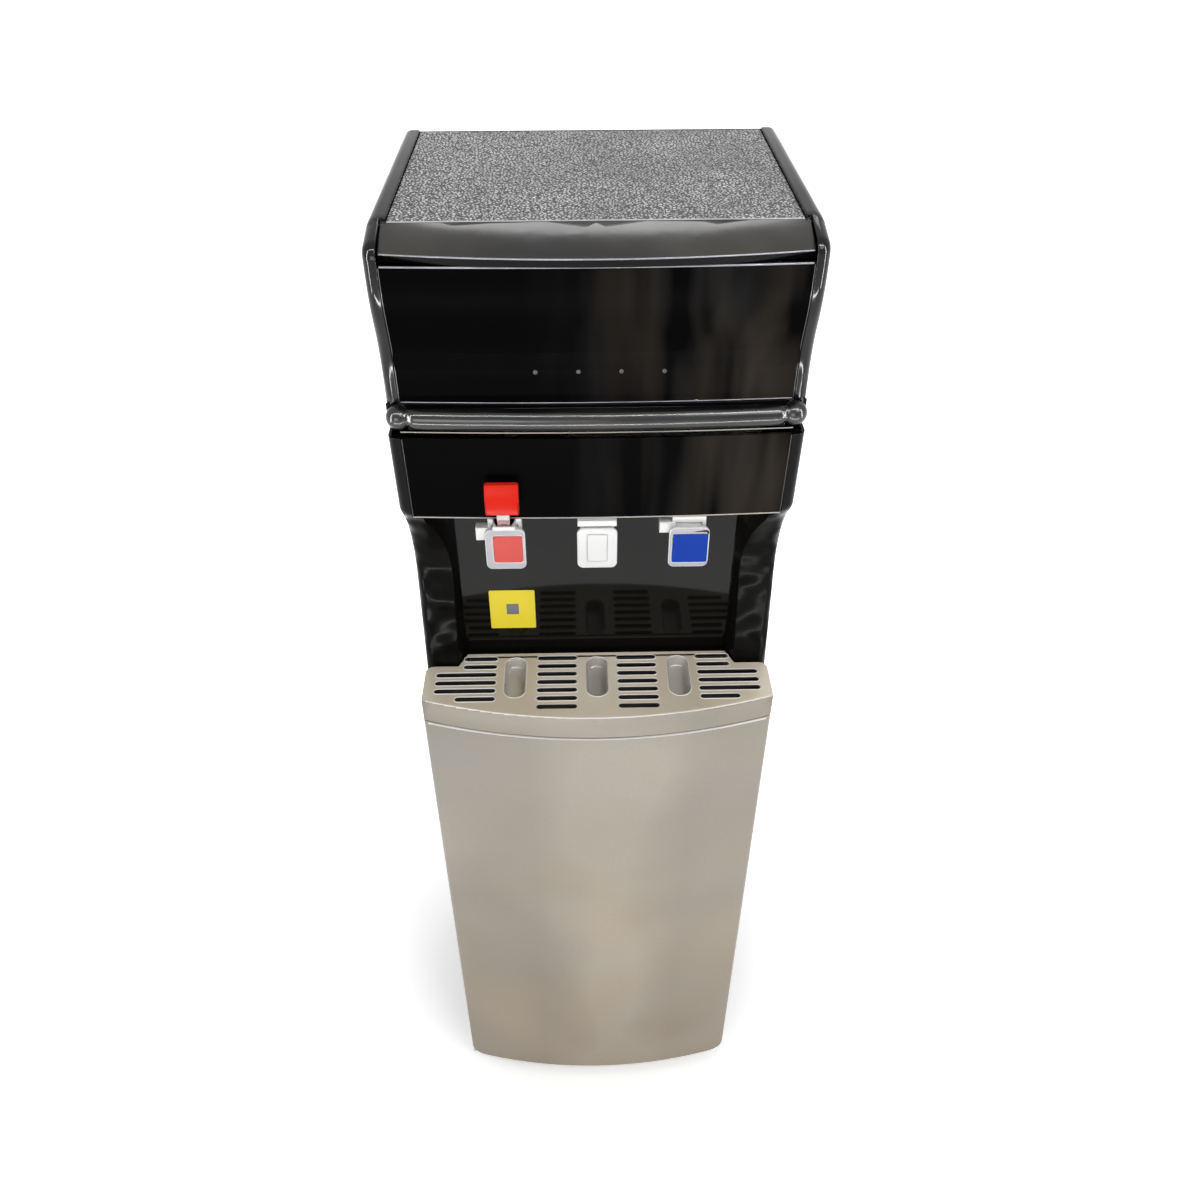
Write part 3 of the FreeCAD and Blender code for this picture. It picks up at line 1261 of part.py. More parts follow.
def make_head_cover():
    """Top moulding: rails, rear wall, bezel with its brow, and the bead."""
    body = new_body("head_cover")
    half = S.half_width
    wall = S.shell_wall
    sketch = new_sketch(body, "YZ_Plane")
    rail_profile(sketch, size(0))
    block = pad(body, sketch, S.body_width, both_ways=True)
    edge_x = half.value
    low = S.bead_top.value + 0.1

    def on_outer_side(edge):
        middle = edge.CenterOfMass
        return abs(abs(middle.x) - edge_x) < 0.01 and middle.z > low and middle.y < S.rear_reach.value - 1

    fillet(body, block, S.rail_round, on_outer_side)
    sketch = new_sketch(body, "YZ_Plane")
    rail_profile(sketch, wall)
    pocket(body, sketch, S.body_width - wall * 2, both_ways=True)
    window = half - S.rail_width
    sketch = new_sketch(body, "YZ_Plane")
    rectangle(
        sketch, (-S.cheek_clear_reach, -S.insert_front_reach),
        (S.cover_joint - S.overrun, S.body_height + S.overrun))
    pocket(body, sketch, window * 2, both_ways=True)
    sketch = new_sketch(body, "XY_Plane", S.insert_level - S.insert_thickness)
    rear_rim = S.rear_reach - wall - S.insert_rim
    insert_half = S.insert_half_width + S.side_gap
    rectangle(sketch, (-insert_half, insert_half), (-S.insert_front_reach - S.overrun, rear_rim))
    pocket(body, sketch, S.body_height, against=True)
    reaches = (S.brow_edge_reach, S.brow_reach, S.brow_edge_reach)
    loft(body, [brow_section(body, x, r) for x, r in zip((-window, size(0), window), reaches)])
    reaches = (S.bead_edge_reach, S.bead_reach, S.bead_edge_reach)
    loft(body, [bead_section(body, x, r) for x, r in zip((-half, size(0), half), reaches)])
    return node("head_cover", body)


def make_head_panels():
    insert = box(
        "top_insert",
        (-S.insert_half_width, S.insert_half_width),
        (-S.insert_front_reach + S.seat_gap, S.rear_reach - S.shell_wall - S.insert_rim - S.side_gap),
        (S.insert_level - S.insert_thickness, S.insert_level))
    node("top_insert", insert)
    half = S.half_width - S.rail_width - S.seat_gap
    make_control_panel(half)
    make_lower_panel(half)


def make_control_panel(half):
    """The glossy panel between brow and bead, with the rails' own S-curve."""
    bow, depth = S.panel_bow, S.panel_thickness
    top, low = S.brow_bottom - S.seat_gap, S.bead_top + S.seat_gap
    edges = []
    for inset in (size(0), depth):
        nose = S.rail_nose_reach - S.panel_sink + bow - inset
        foot = S.bead_seat_reach - S.panel_sink + bow - inset
        curve, radius = front_curve(nose, foot)
        edges.append([(-nose, top)] + curve + [(-foot, low)])
    arcs = {1: (radius, 1), 2: (radius, -1), 6: (radius, 1), 7: (radius, -1)}
    body = bowed_panel("control_panel", half, edges[0], edges[1], arcs)
    sketch = new_sketch(body, "XZ_Plane", S.board_reach)
    for across in lamp_places():
        circle(sketch, across, S.lamp_level, S.lamp_radius)
    pocket(body, sketch, S.panel_thickness * 4, against=True)


def make_lower_panel(half):
    """The plain leaning panel below the bead."""
    top, low = -(S.lower_top_reach + S.panel_bow), -(S.lower_foot_reach + S.panel_bow)
    front = [(top, S.lower_top), (low, S.lower_foot)]
    back = [(top + S.panel_thickness, S.lower_top), (low + S.panel_thickness, S.lower_foot)]
    bowed_panel("lower_front_panel", half, front, back, {})


def bent_tube(label, plane, offset, points, bend, radius, start_plane, start_offset, start_at):
    """A round tube along a path whose corners are cut off; its section is drawn at its start."""
    body = new_body(label)
    spine = new_sketch(body, plane, offset)
    open_path(spine, mitre_points(points, bend))
    profile = new_sketch(body, start_plane, start_offset)
    circle(profile, *start_at, radius)
    pipe(body, profile, spine)
    return body


# Taps and child lock

def make_tap_body(name, across, block_half, block_reach, hook):
    """Collar, barrel, nozzle and shank of one tap, with the ears for the paddle's pin."""
    here = (across, -S.tap_reach)
    top = S.ceiling_level
    ear_in = S.hub_half_length + S.ear_gap
    ear_out = ear_in + S.ear_thickness
    front = -S.ear_reach
    collar = top - S.collar_height
    pieces = [
        rod(name + "_barrel", S.tap_body_radius, (*here, S.tap_body_bottom), top - S.tap_body_bottom),
        cone(name + "_collar", S.tap_body_radius, S.collar_radius, (*here, collar), S.collar_height),
        rod(name + "_nozzle", S.nozzle_radius, (*here, S.nozzle_bottom), top - S.nozzle_bottom),
        rod(name + "_shank", S.shank_radius, (*here, collar), S.shank_top - collar),
        rod(name + "_port", S.port_radius, (*here, S.tube_level), S.tap_reach - S.port_reach, "Y"),
        box(name + "_block",
            (across - block_half, across + block_half),
            (-block_reach, -S.tap_reach), (S.block_bottom, S.block_top)),
    ]
    for side, ends in (("left", (-ear_out, -ear_in)), ("right", (ear_in, ear_out))):
        xs = (across + ends[0], across + ends[1])
        pieces.append(box(f"{name}_{side}_ear", xs, (front, -S.tap_reach), (S.ear_bottom, S.block_top)))
    if hook is not None:
        xs = (across - S.hook_reach, across - ear_in)
        pieces.append(box(name + "_hook", xs, (front, front + S.hook_depth), hook))
    if name == "hot":
        ys = (-S.guide_reach, front + S.overrun)
        half = S.stem_width / 2 + S.guide_wall
        pieces.append(box("guide_plate", (across - half, across + half), ys, (S.guide_bottom, S.block_top)))
    tools = [
        rod(name + "_bore", S.nozzle_bore, (*here, S.nozzle_bottom - S.overrun),
            S.tube_level - S.nozzle_bottom + S.overrun),
        rod(name + "_pin_hole", S.pivot_pin_radius,
            (across - ear_out - S.overrun, -S.pivot_reach, S.pivot_level), (ear_out + S.overrun) * 2, "X"),
    ]
    if name == "hot":
        half = S.stem_width / 2 + S.stem_clearance
        depth = S.stem_thickness / 2 + S.stem_clearance
        tools.append(box(
            "guide_slot", (across - half, across + half),
            (-S.stem_reach - depth, -S.stem_reach + depth),
            (S.guide_bottom - S.overrun, S.block_top + S.overrun)))
    body = fuse(name + "_tap_solid", *pieces)
    return node(name + "_tap_body", cut(name + "_tap_body", body, *tools))


def make_paddle(name, across):
    """A lever's face with its arm and hub."""
    body = new_body(name + "_paddle")
    half = S.paddle_width / 2
    front = S.paddle_reach
    sketch = new_sketch(body, "XZ_Plane", front - S.paddle_thickness)
    xs = (across - half, across + half)
    rounded_rectangle(sketch, xs, (S.paddle_bottom, S.paddle_top), S.paddle_corner)
    pad(body, sketch, S.paddle_thickness)
    sketch = new_sketch(body, "YZ_Plane", across)
    arm = (S.pivot_level - S.arm_height / 2, S.pivot_level + S.arm_height / 2)
    rectangle(sketch, (-front + S.paddle_thickness / 2, -S.pivot_reach), arm)
    pad(body, sketch, S.arm_width, both_ways=True)
    sketch = new_sketch(body, "YZ_Plane", across)
    circle(sketch, -S.pivot_reach, S.pivot_level, S.hub_radius)
    pad(body, sketch, S.hub_half_length * 2, both_ways=True)
    sketch = new_sketch(body, "YZ_Plane", across)
    circle(sketch, -S.pivot_reach, S.pivot_level, S.pivot_pin_radius + S.pivot_clearance)
    pocket(body, sketch, S.hub_half_length * 2 + S.overrun, both_ways=True)
    return body


def make_tile(name, body, across, shift, width, height, top):
    """The coloured tile that marks a lever, in a pocket of the paddle's face."""
    low = top - height
    left, right = across + shift - width / 2, across + shift + width / 2
    gap = S.tile_gap
    face = S.paddle_reach
    sketch = new_sketch(body, "XZ_Plane", face)
    rounded_rectangle(sketch, (left - gap, right + gap), (low - gap, top + gap), S.tile_corner + gap)
    pocket(body, sketch, S.tile_sink)
    tile = new_body(name + "_tile")
    sketch = new_sketch(tile, "XZ_Plane", face - S.tile_sink)
    rounded_rectangle(sketch, (left, right), (low, top), S.tile_corner)
    pad(tile, sketch, S.tile_thickness)
    node(name + "_tile", tile)


def make_taps():
    left, middle, right = -S.tap_pitch, size(0), S.tap_pitch
    narrow = S.hub_half_length + S.ear_gap + S.ear_thickness
    make_tap_body("hot", left, narrow, S.ear_reach, (S.hot_hook_bottom, S.hot_hook_top))
    make_tap_body("room", middle, S.room_block_half, S.room_block_reach, None)
    make_tap_body("cold", right, narrow, S.ear_reach, (S.cold_hook_bottom, S.cold_hook_top))
    hot = make_paddle("hot", left)
    room = make_paddle("room", middle)
    cold = make_paddle("cold", right)
    make_tile("hot", hot, left, S.hot_tile_shift, S.hot_tile_width, S.hot_tile_height, S.tile_top)
    make_tile("cold", cold, right, S.cold_tile_shift, S.cold_tile_width, S.cold_tile_height, S.tile_top)
    sketch = new_sketch(room, "XZ_Plane", S.paddle_reach)
    half = S.room_panel_width / 2
    rounded_rectangle(sketch, (-half, half), (S.room_panel_bottom, S.room_panel_top), S.tile_corner)
    pad(room, sketch, S.room_panel_rise)
    for name, body in (("hot", hot), ("room", room), ("cold", cold)):
        node(name + "_paddle", body)
    pins = []
    for name, across in (("hot", left), ("room", middle), ("cold", right)):
        start = (across - narrow, -S.pivot_reach, S.pivot_level)
        pins.append(rod(name + "_pin", S.pivot_pin_radius, start, narrow * 2, "X"))
    node("paddle_pins", group("paddle_pins", pins))
    make_nuts((left, middle, right))


def make_nuts(places):
    nuts = []
    for number, across in enumerate(places):
        blank = doc.addObject("Part::Prism", f"nut_blank_{number}")
        blank.Polygon = 6
        bind(blank, Circumradius=S.nut_radius, Height=S.nut_height)
        place(blank, across, -S.tap_reach, S.ceiling_level + S.shell_wall)
        start = (across, -S.tap_reach, S.ceiling_level)
        hole = rod(f"nut_hole_{number}", S.shank_radius, start, S.nut_height * 2)
        nuts.append(cut(f"nut_{number}", blank, hole))
    node("tap_nuts", group("tap_nuts", nuts))


def make_lock():
    """The child lock over the hot tap: a pull-up cap on a flat stem."""
    across = -S.tap_pitch
    half = S.cap_width / 2
    back = -S.stem_reach + S.cap_back
    front = back - S.cap_depth
    top = S.cap_bottom + S.cap_height
    cap = new_body("lock_cap")
    sketch = new_sketch(cap, "YZ_Plane", across)
    outline(sketch, [
        (front, S.cap_bottom), (back, S.cap_bottom), (back, top),
        (front + S.cap_bevel_depth, top), (front, top - S.cap_bevel_height),
    ])
    block = pad(cap, sketch, S.cap_width, both_ways=True)
    sides = (across.value - half.value, across.value + half.value)

    def on_cap_side(edge):
        middle = edge.CenterOfMass
        return edge.BoundBox.XLength < 0.01 and min(abs(middle.x - side) for side in sides) < 0.01

    fillet(cap, block, S.cap_round, on_cap_side)
    node("lock_cap", cap)
    half = S.stem_width / 2
    depth = S.stem_thickness / 2
    stem = box(
        "lock_stem", (across - half, across + half),
        (-S.stem_reach - depth, -S.stem_reach + depth), (S.stem_bottom, S.cap_bottom))
    node("lock_stem", stem)


# Indicators

def lamp_places():
    """Distances of the lamps from the centre plane, sideways."""
    count = int(S.lamp_count.value)
    return [S.lamp_shift + S.lamp_pitch * (number - (count - 1) / 2) for number in range(count)]


def make_indicators():
    """Four lamp lenses behind the control panel and the board that carries them."""
    face = S.board_reach
    board = box(
        "control_board", (-S.board_half_width, S.board_half_width),
        (-face, -face + S.board_thickness), (S.bead_top, S.bead_top + S.board_height))
    node("control_board", board)
    lamps = []
    for number, across in enumerate(lamp_places()):
        start = (across, -S.lamp_reach, S.lamp_level)
        lamps.append(rod(f"lamp_{number}", S.lamp_radius, start, S.lamp_reach - face, "Y"))
    node("indicator_lamps", group("indicator_lamps", lamps))


# Cooling, heating and water circuit

def make_shelf():
    body = new_body("tank_shelf")
    half = S.half_width - S.panel_sheet
    back = S.rear_reach - S.sheet - S.side_gap
    front = -S.shelf_front_reach
    sketch = new_sketch(body, "XY_Plane", S.shelf_level)
    rectangle(sketch, (-half, half), (front, back))
    pad(body, sketch, S.shelf_flange, against=True)
    sketch = new_sketch(body, "XY_Plane", S.shelf_level - S.sheet)
    rectangle(sketch, (-half + S.sheet, half - S.sheet), (front + S.sheet, back - S.sheet))
    pocket(body, sketch, S.shelf_flange)
    sketch = new_sketch(body, "XY_Plane", S.shelf_level)
    circle(sketch, -S.tap_pitch, S.hot_outlet_back, S.tube_radius + S.side_gap)
    circle(sketch, -S.probe_across, S.probe_back, S.tube_radius + S.side_gap)
    pocket(body, sketch, S.sheet * 2)
    node("tank_shelf", body)


def make_compressor():
    """The hermetic compressor on its base plate and rubber mounts."""
    low = S.deck_level + S.mount_height
    foot = low + S.mount_plate
    top = foot + S.compressor_height
    radius, rim = S.compressor_radius, S.compressor_rim
    seam = foot + S.seam_height
    body = new_body("compressor")
    sketch = new_sketch(body, "XZ_Plane")
    bevel, small = S.shell_bevel, S.shell_bevel / 3
    outline(sketch, [
        (0, foot), (radius - bevel, foot), (radius - small, foot + small), (radius, foot + bevel),
        (radius, seam), (radius + rim, seam),
        (radius + rim, seam + S.seam_width), (radius, seam + S.seam_width),
        (radius, top - bevel), (radius - small, top - small), (radius - bevel, top), (0, top),
    ])
    revolve(body, sketch)
    sketch = new_sketch(body, "XY_Plane", low)
    half, along = S.mount_plate_width / 2, S.mount_plate_length / 2
    rounded_rectangle(sketch, (-half, half), (-along, along), S.mount_radius)
    pad(body, sketch, S.mount_plate)
    sketch = new_sketch(body, "XY_Plane", top - S.overrun)
    circle(sketch, 0, S.outlet_back, S.line_radius + S.stub_wall)
    pad(body, sketch, S.stub_height + S.overrun)
    roof = top - S.shell_bevel
    sketch = new_sketch(body, "XY_Plane", roof)
    circle(sketch, 0, 0, S.chamber_radius)
    pocket(body, sketch, S.chamber_height)
    sketch = new_sketch(body, "XY_Plane", roof - S.overrun)
    circle(sketch, 0, S.outlet_back, S.port_bore)
    pocket(body, sketch, S.shell_bevel + S.stub_height + S.overrun * 2, against=True)
    place(body, S.compressor_across, S.compressor_back, 0)
    node("compressor", body)
    mounts = []
    half, along = half - S.mount_radius, along - S.mount_radius
    for number, (side, end) in enumerate(((-1, -1), (1, -1), (1, 1), (-1, 1))):
        start = (S.compressor_across + side * half, S.compressor_back + end * along, S.deck_level)
        mounts.append(rod(f"mount_{number}", S.mount_radius, start, S.mount_height))
    node("compressor_mounts", group("compressor_mounts", mounts))


def make_hot_tank():
    """The hot tank in its insulating jacket, closed by the jacket's lid."""
    here = (-S.hot_across, -S.hot_front)
    low = S.deck_level + S.jacket_wall
    top = low + S.hot_height
    outer = S.hot_radius + S.jacket_wall
    shell = rod("jacket_shell", outer, (*here, S.deck_level), top - S.deck_level)
    cavity = rod("jacket_cavity", S.hot_radius + S.seat_gap, (*here, low), S.hot_height + S.overrun)
    node("hot_tank_jacket", cut("hot_tank_jacket", shell, cavity))
    outlet = (-S.tap_pitch, S.hot_outlet_back)
    lid = rod("jacket_lid_blank", outer, (*here, top), S.jacket_wall)
    hole = rod("jacket_lid_hole", S.port_radius + S.side_gap, (*outlet, top - S.overrun), S.jacket_wall * 2)
    node("hot_jacket_lid", cut("hot_jacket_lid", lid, hole))
    tank = rod("hot_tank_shell", S.hot_radius, (*here, low), S.hot_height)
    stub = rod("hot_tank_stub", S.port_radius, (*outlet, top - S.overrun), S.jacket_wall * 2 + S.overrun)
    wall = S.tank_wall
    inside = rod("hot_tank_inside", S.hot_radius - wall, (*here, low + wall), S.hot_height - wall * 2)
    rise = S.jacket_wall * 2 + wall * 2 + S.overrun
    bore = rod("hot_tank_bore", S.port_bore, (*outlet, top - wall * 2), rise)
    node("hot_tank", cut("hot_tank", fuse("hot_tank_solid", tank, stub), inside, bore))


def make_cold_tank():
    """The cold tank in its foam block, closed by the foam lid."""
    here = (S.cold_across, S.cold_back)
    reach = S.cold_radius + S.foam_wall
    xs = (S.cold_across - reach, S.cold_across + reach)
    ys = (S.cold_back - reach, S.cold_back + reach)
    low = S.shelf_level + S.foam_wall
    top = low + S.cold_height
    block = box("foam_block", xs, ys, (S.shelf_level, top))
    cavity = rod("foam_cavity", S.cold_radius + S.seat_gap, (*here, low), S.cold_height + S.overrun)
    node("cold_tank_foam", cut("cold_tank_foam", block, cavity))
    node("cold_foam_lid", box("cold_foam_lid", xs, ys, (top, top + S.foam_wall)))
    tank = rod("cold_tank_shell", S.cold_radius, (*here, low), S.cold_height)
    inside = rod("cold_tank_inside", S.cold_radius - S.tank_wall, (*here, low + S.tank_wall), S.cold_height)
    node("cold_tank", cut("cold_tank", tank, inside))


def make_tubes():
    """The tubes to the three taps, and the feed from the pump to the cold tank."""
    front = -S.port_reach
    foam = S.cold_back - S.cold_radius - S.foam_wall
    tubes = []
    for name, across in (("room", size(0)), ("cold", S.tap_pitch)):
        tubes.append(rod(name + "_tube", S.tube_radius, (across, front, S.tube_level), foam - front, "Y"))
    start = S.deck_level + S.hot_height + S.jacket_wall * 3
    hot_path = [(S.hot_outlet_back, start), (S.hot_outlet_back, S.tube_level), (front, S.tube_level)]
    tubes.append(bent_tube(
        "hot_tube", "YZ_Plane", -S.tap_pitch, hot_path, S.tube_bend, S.tube_radius,
        "XY_Plane", start, (-S.tap_pitch, S.hot_outlet_back)))
    node("tap_tubes", group("tap_tubes", tubes))
    side = S.cold_across - S.cold_radius - S.foam_wall
    start = S.pump_bottom + S.pump_height
    path = [(-S.probe_across, start), (-S.probe_across, S.feed_level), (side, S.feed_level)]
    node("feed_tube", bent_tube(
        "feed_tube", "XZ_Plane", -S.probe_back, path, S.feed_bend, S.tube_radius,
        "XY_Plane", start, (-S.probe_across, S.probe_back)))


def make_pump():
    """The water pump in its sleeve on the deck."""
    here = (-S.probe_across, S.probe_back)
    top = S.pump_bottom + S.pump_height
    motor = rod("pump_motor", S.pump_radius, (*here, S.pump_bottom), S.pump_height - S.pump_neck)
    neck = rod(
        "pump_neck", S.pump_radius - S.pump_step,
        (*here, top - S.pump_neck - S.overrun), S.pump_neck + S.overrun)
    node("water_pump", fuse("water_pump", motor, neck))
    height = S.bracket_top - S.deck_level
    sleeve = rod("sleeve_shell", S.pump_radius + S.shell_wall, (*here, S.deck_level), height)
    bore = rod("sleeve_bore", S.pump_radius + S.seat_gap, (*here, S.pump_bottom), height)
    well = rod("sleeve_well", S.ledge_radius, (*here, S.deck_level - S.overrun), height)
    node("pump_bracket", cut("pump_bracket", sleeve, bore, well))


def make_suction():
    """The suction riser, and the probe parked in its clip beside the bottle."""
    here = (-S.probe_across, S.probe_back)
    cap_top = S.probe_cap_bottom + S.probe_cap_height
    nipple_top = cap_top + S.nipple_height
    riser = rod("suction_riser", S.riser_radius, (*here, nipple_top), S.pump_bottom - nipple_top)
    node("suction_riser", riser)
    straw = rod("straw", S.tube_radius, (*here, S.straw_bottom), cap_top - S.straw_bottom)
    cap = rod("probe_cap", S.probe_cap_radius, (*here, S.probe_cap_bottom), S.probe_cap_height)
    nipple = rod("probe_nipple", S.riser_radius, (*here, cap_top - S.overrun), S.nipple_height + S.overrun)
    node("suction_probe", fuse("suction_probe", straw, cap, nipple))
    height = S.clip_height
    low = S.probe_cap_bottom + S.clip_lift
    ring = rod("clip_ring", S.probe_cap_radius + S.shell_wall, (*here, low), height)
    wall = -S.half_width + S.panel_sheet
    half = S.clip_width / 2
    ys = (S.probe_back - half, S.probe_back + half)
    arm = box("clip_arm", (wall, -S.probe_across), ys, (low, low + height))
    bore = rod("clip_bore", S.probe_cap_radius, (*here, low - S.overrun), height + S.overrun * 2)
    node("probe_clip", cut("probe_clip", fuse("clip_solid", ring, arm), bore))


# Condenser and rear fittings

def make_condenser():
    reach = S.condenser_reach - S.coil_radius - S.wire_radius * 2 - S.wire_gap
    bend = S.coil_pitch / 2
    end = S.coil_half_width - bend
    passes = int(S.coil_passes.value)
    top = S.coil_top
    foot = top - S.coil_pitch * (passes - 1)
    slant = bend * sine(S.bend_angle)
    path = [(S.coil_start, foot)]
    for number in range(passes - 1):
        side = -1 if number % 2 == 0 else 1
        level = foot + S.coil_pitch * number
        out = bend * cosine(S.bend_angle)
        path += [
            (side * end, level), (side * (end + out), level + bend - slant),
            (side * S.coil_half_width, level + bend),
            (side * (end + out), level + bend + slant), (side * end, level + S.coil_pitch)]
    inlet = S.compressor_across
    path += [(inlet - S.coil_elbow, top), (inlet, top - S.coil_elbow), (inlet, top - S.coil_elbow * 2)]
    body = new_body("coil_tube")
    spine = new_sketch(body, "XZ_Plane", -reach)
    open_path(spine, path)
    profile = new_sketch(body, "YZ_Plane", S.coil_start)
    octagon(profile, reach, foot, S.coil_radius)
    pipe(body, profile, spine)
    tail_start = (S.coil_start - S.coil_tail_inset, S.rear_reach, foot)
    tail = rod("coil_tail", S.coil_radius - S.coil_wall, tail_start, reach - S.rear_reach, "Y")
    node("condenser_coil", fuse("condenser_coil", body, tail))
    low = foot - S.wire_overhang
    length = S.coil_pitch * (passes - 1) + S.wire_overhang * 2
    first = -S.wire_pitch * (S.wire_count - 1) / 2
    wires = []
    for layer, side in (("inner", -1), ("outer", 1)):
        along = reach + side * (S.coil_radius + S.wire_radius + S.wire_gap)
        for number in range(int(S.wire_count.value)):
            at = (first + S.wire_pitch * number, along, low)
            wire = doc.addObject("Part::Prism", f"{layer}_wire_{number}")
            wire.Polygon = 6
            bind(wire, Circumradius=S.wire_radius, Height=length)
            place(wire, *at, rotation=Rotation(Vector(0, 0, 1), 30))
            wires.append(wire)
    node("condenser_wires", group("condenser_wires", wires))
    face = reach - S.coil_radius - S.wire_radius * 2 - S.wire_gap
    brackets = []
    for number, level in enumerate((low + S.bracket_inset, low + length - S.bracket_inset)):
        for name, across in (("left", first), ("right", -first)):
            half = S.bracket_width / 2
            zs = (level - S.bracket_height / 2, level + S.bracket_height / 2)
            xs = (across - half, across + half)
            brackets.append(box(f"{name}_bracket_{number}", xs, (S.rear_reach, face), zs))
    node("condenser_brackets", group("condenser_brackets", brackets))
    make_discharge_line(reach, top - S.coil_elbow * 2)


def make_discharge_line(reach, coil_end):
    """The refrigerant line from the compressor through the rear panel to the coil."""
    back = S.compressor_back + S.outlet_back
    start = stub_top()
    level = start + S.line_rise
    path = [(back, start), (back, level), (reach, level), (reach, coil_end)]
    node("discharge_line", bent_tube(
        "discharge_line", "YZ_Plane", S.compressor_across, path, S.line_bend, S.line_radius,
        "XY_Plane", start, (S.compressor_across, back)))


def make_switches():
    """Two rocker switches in one frame in the rear panel."""
    face = S.rear_reach
    level = S.switch_level
    half, height = S.frame_width / 2, S.frame_height / 2
    ys = (face, face + S.frame_flange)
    bezel = box("switch_bezel", (-half, half), ys, (level - height, level + height))
    half, height = half - S.frame_lip, height - S.frame_lip
    shell = box(
        "switch_shell", (-half, half),
        (face - S.frame_depth, face + S.frame_flange), (level - height, level + height))
    wells = []
    pivot = S.rear_reach + S.rocker_shift
    for name, side in (("hot", 1), ("cold", -1)):
        across = side * S.switch_across / 2
        width = S.rocker_width / 2 + S.rocker_gap
        wells.append(box(
            name + "_well", (across - width, across + width),
            (face - S.frame_depth + S.shell_wall, face + S.frame_flange + S.overrun),
            (level - S.rocker_travel, level + S.rocker_travel)))
        reach = S.rocker_width / 2 + S.rocker_pin
        hole = S.pivot_pin_radius + S.pivot_clearance
        start = (across - reach - S.rocker_gap, pivot, level)
        wells.append(rod(name + "_pivot_hole", hole, start, (reach + S.rocker_gap) * 2, "X"))
        make_rocker(name, across, pivot)
    node("switch_frame", cut("switch_frame", fuse("switch_solid", bezel, shell), *wells))


def make_rocker(name, across, pivot):
    """A rocker with a shallow V front, tilted to its off side."""
    body = new_body(name + "_switch")
    sketch = new_sketch(body, "YZ_Plane")
    half, tall = S.rocker_root / 2, S.rocker_height / 2
    outline(sketch, [
        (-S.rocker_back, -half), (S.rocker_front + S.rocker_rise, -tall), (S.rocker_front, 0),
        (S.rocker_front + S.rocker_rise, tall), (-S.rocker_back, half),
    ])
    pad(body, sketch, S.rocker_width, both_ways=True)
    sketch = new_sketch(body, "YZ_Plane")
    circle(sketch, 0, 0, S.pivot_pin_radius)
    pad(body, sketch, S.rocker_width + S.rocker_pin * 2, both_ways=True)
    place(body, across, pivot, S.switch_level, rotation=Rotation(Vector(1, 0, 0), S.rocker_tilt.value))
    node(name + "_switch", body)


def make_rear_fittings():
    """The mains gland and the tank drain with its screw cap."""
    face = S.rear_reach
    tail = (S.inlet_across, face - S.gland_tail, S.inlet_level)
    flange = (S.inlet_across, face, S.inlet_level)
    gland = fuse(
        "gland_solid",
        rod("gland_body", S.gland_radius, tail, S.gland_tail + S.gland_length, "Y"),
        rod("gland_flange", S.gland_radius + S.gland_lip, flange, S.gland_lip, "Y"))
    bore = rod("gland_bore", S.gland_bore, tail, S.gland_tail + S.gland_length, "Y")
    node("mains_gland", cut("mains_gland", gland, bore))
    root = (-S.drain_across, face, S.drain_level)
    outlet = fuse(
        "drain_solid",
        rod("drain_tube", S.drain_radius, root, S.drain_length, "Y"),
        rod("drain_flange", S.drain_radius + S.drain_lip, root, S.drain_lip, "Y"))
    bore = rod("drain_bore", S.port_bore, root, S.drain_length + S.overrun, "Y")
    node("drain_outlet", cut("drain_outlet", outlet, bore))
    gap = S.seat_gap
    start = (-S.drain_across, face + S.drain_lip + gap, S.drain_level)
    length = S.drain_length - S.drain_lip + S.drain_cap_end
    shell = rod("drain_cap_shell", S.drain_radius + S.drain_lip, start, length, "Y")
    cavity = rod("drain_cap_cavity", S.drain_radius + gap, start, S.drain_length - S.drain_lip, "Y")
    node("drain_cap", cut("drain_cap", shell, cavity))


def check_objects():
    """Stop at the first object that failed or has no valid shape."""
    for item in doc.Objects:
        if "Invalid" in item.State or "Error" in item.State:
            raise RuntimeError(f"{item.Label} ({item.Name}) failed: {item.State}")
    for item in nodes:
        if item.Shape.isNull() or not item.Shape.isValid():
            raise RuntimeError(f"{item.Label} has no valid shape")


make_base()
make_feet()
make_side_panels()
make_rear_panel()
make_deck()
make_bottle_guide()
make_door_skin()
make_door_liner()
make_door_hinges()
make_catch()
make_cover()
make_basin()
make_alcove_housing()
make_head_cover()
make_head_panels()
make_taps()
make_lock()
make_indicators()
make_shelf()
make_compressor()
make_hot_tank()
make_cold_tank()
make_tubes()
make_pump()
make_suction()
make_condenser()
make_switches()
make_rear_fittings()
doc.recompute()
check_objects()

# Write the sub-parts

for item in nodes:
    item.Shape.exportStep(f"parts/{item.Label}.step")
    print(item.Label, len(item.Shape.Solids), round(item.Shape.Volume / 1000, 2), "cm3")
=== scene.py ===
import json
import math
import bmesh
import bpy
from mathutils import Matrix, Vector

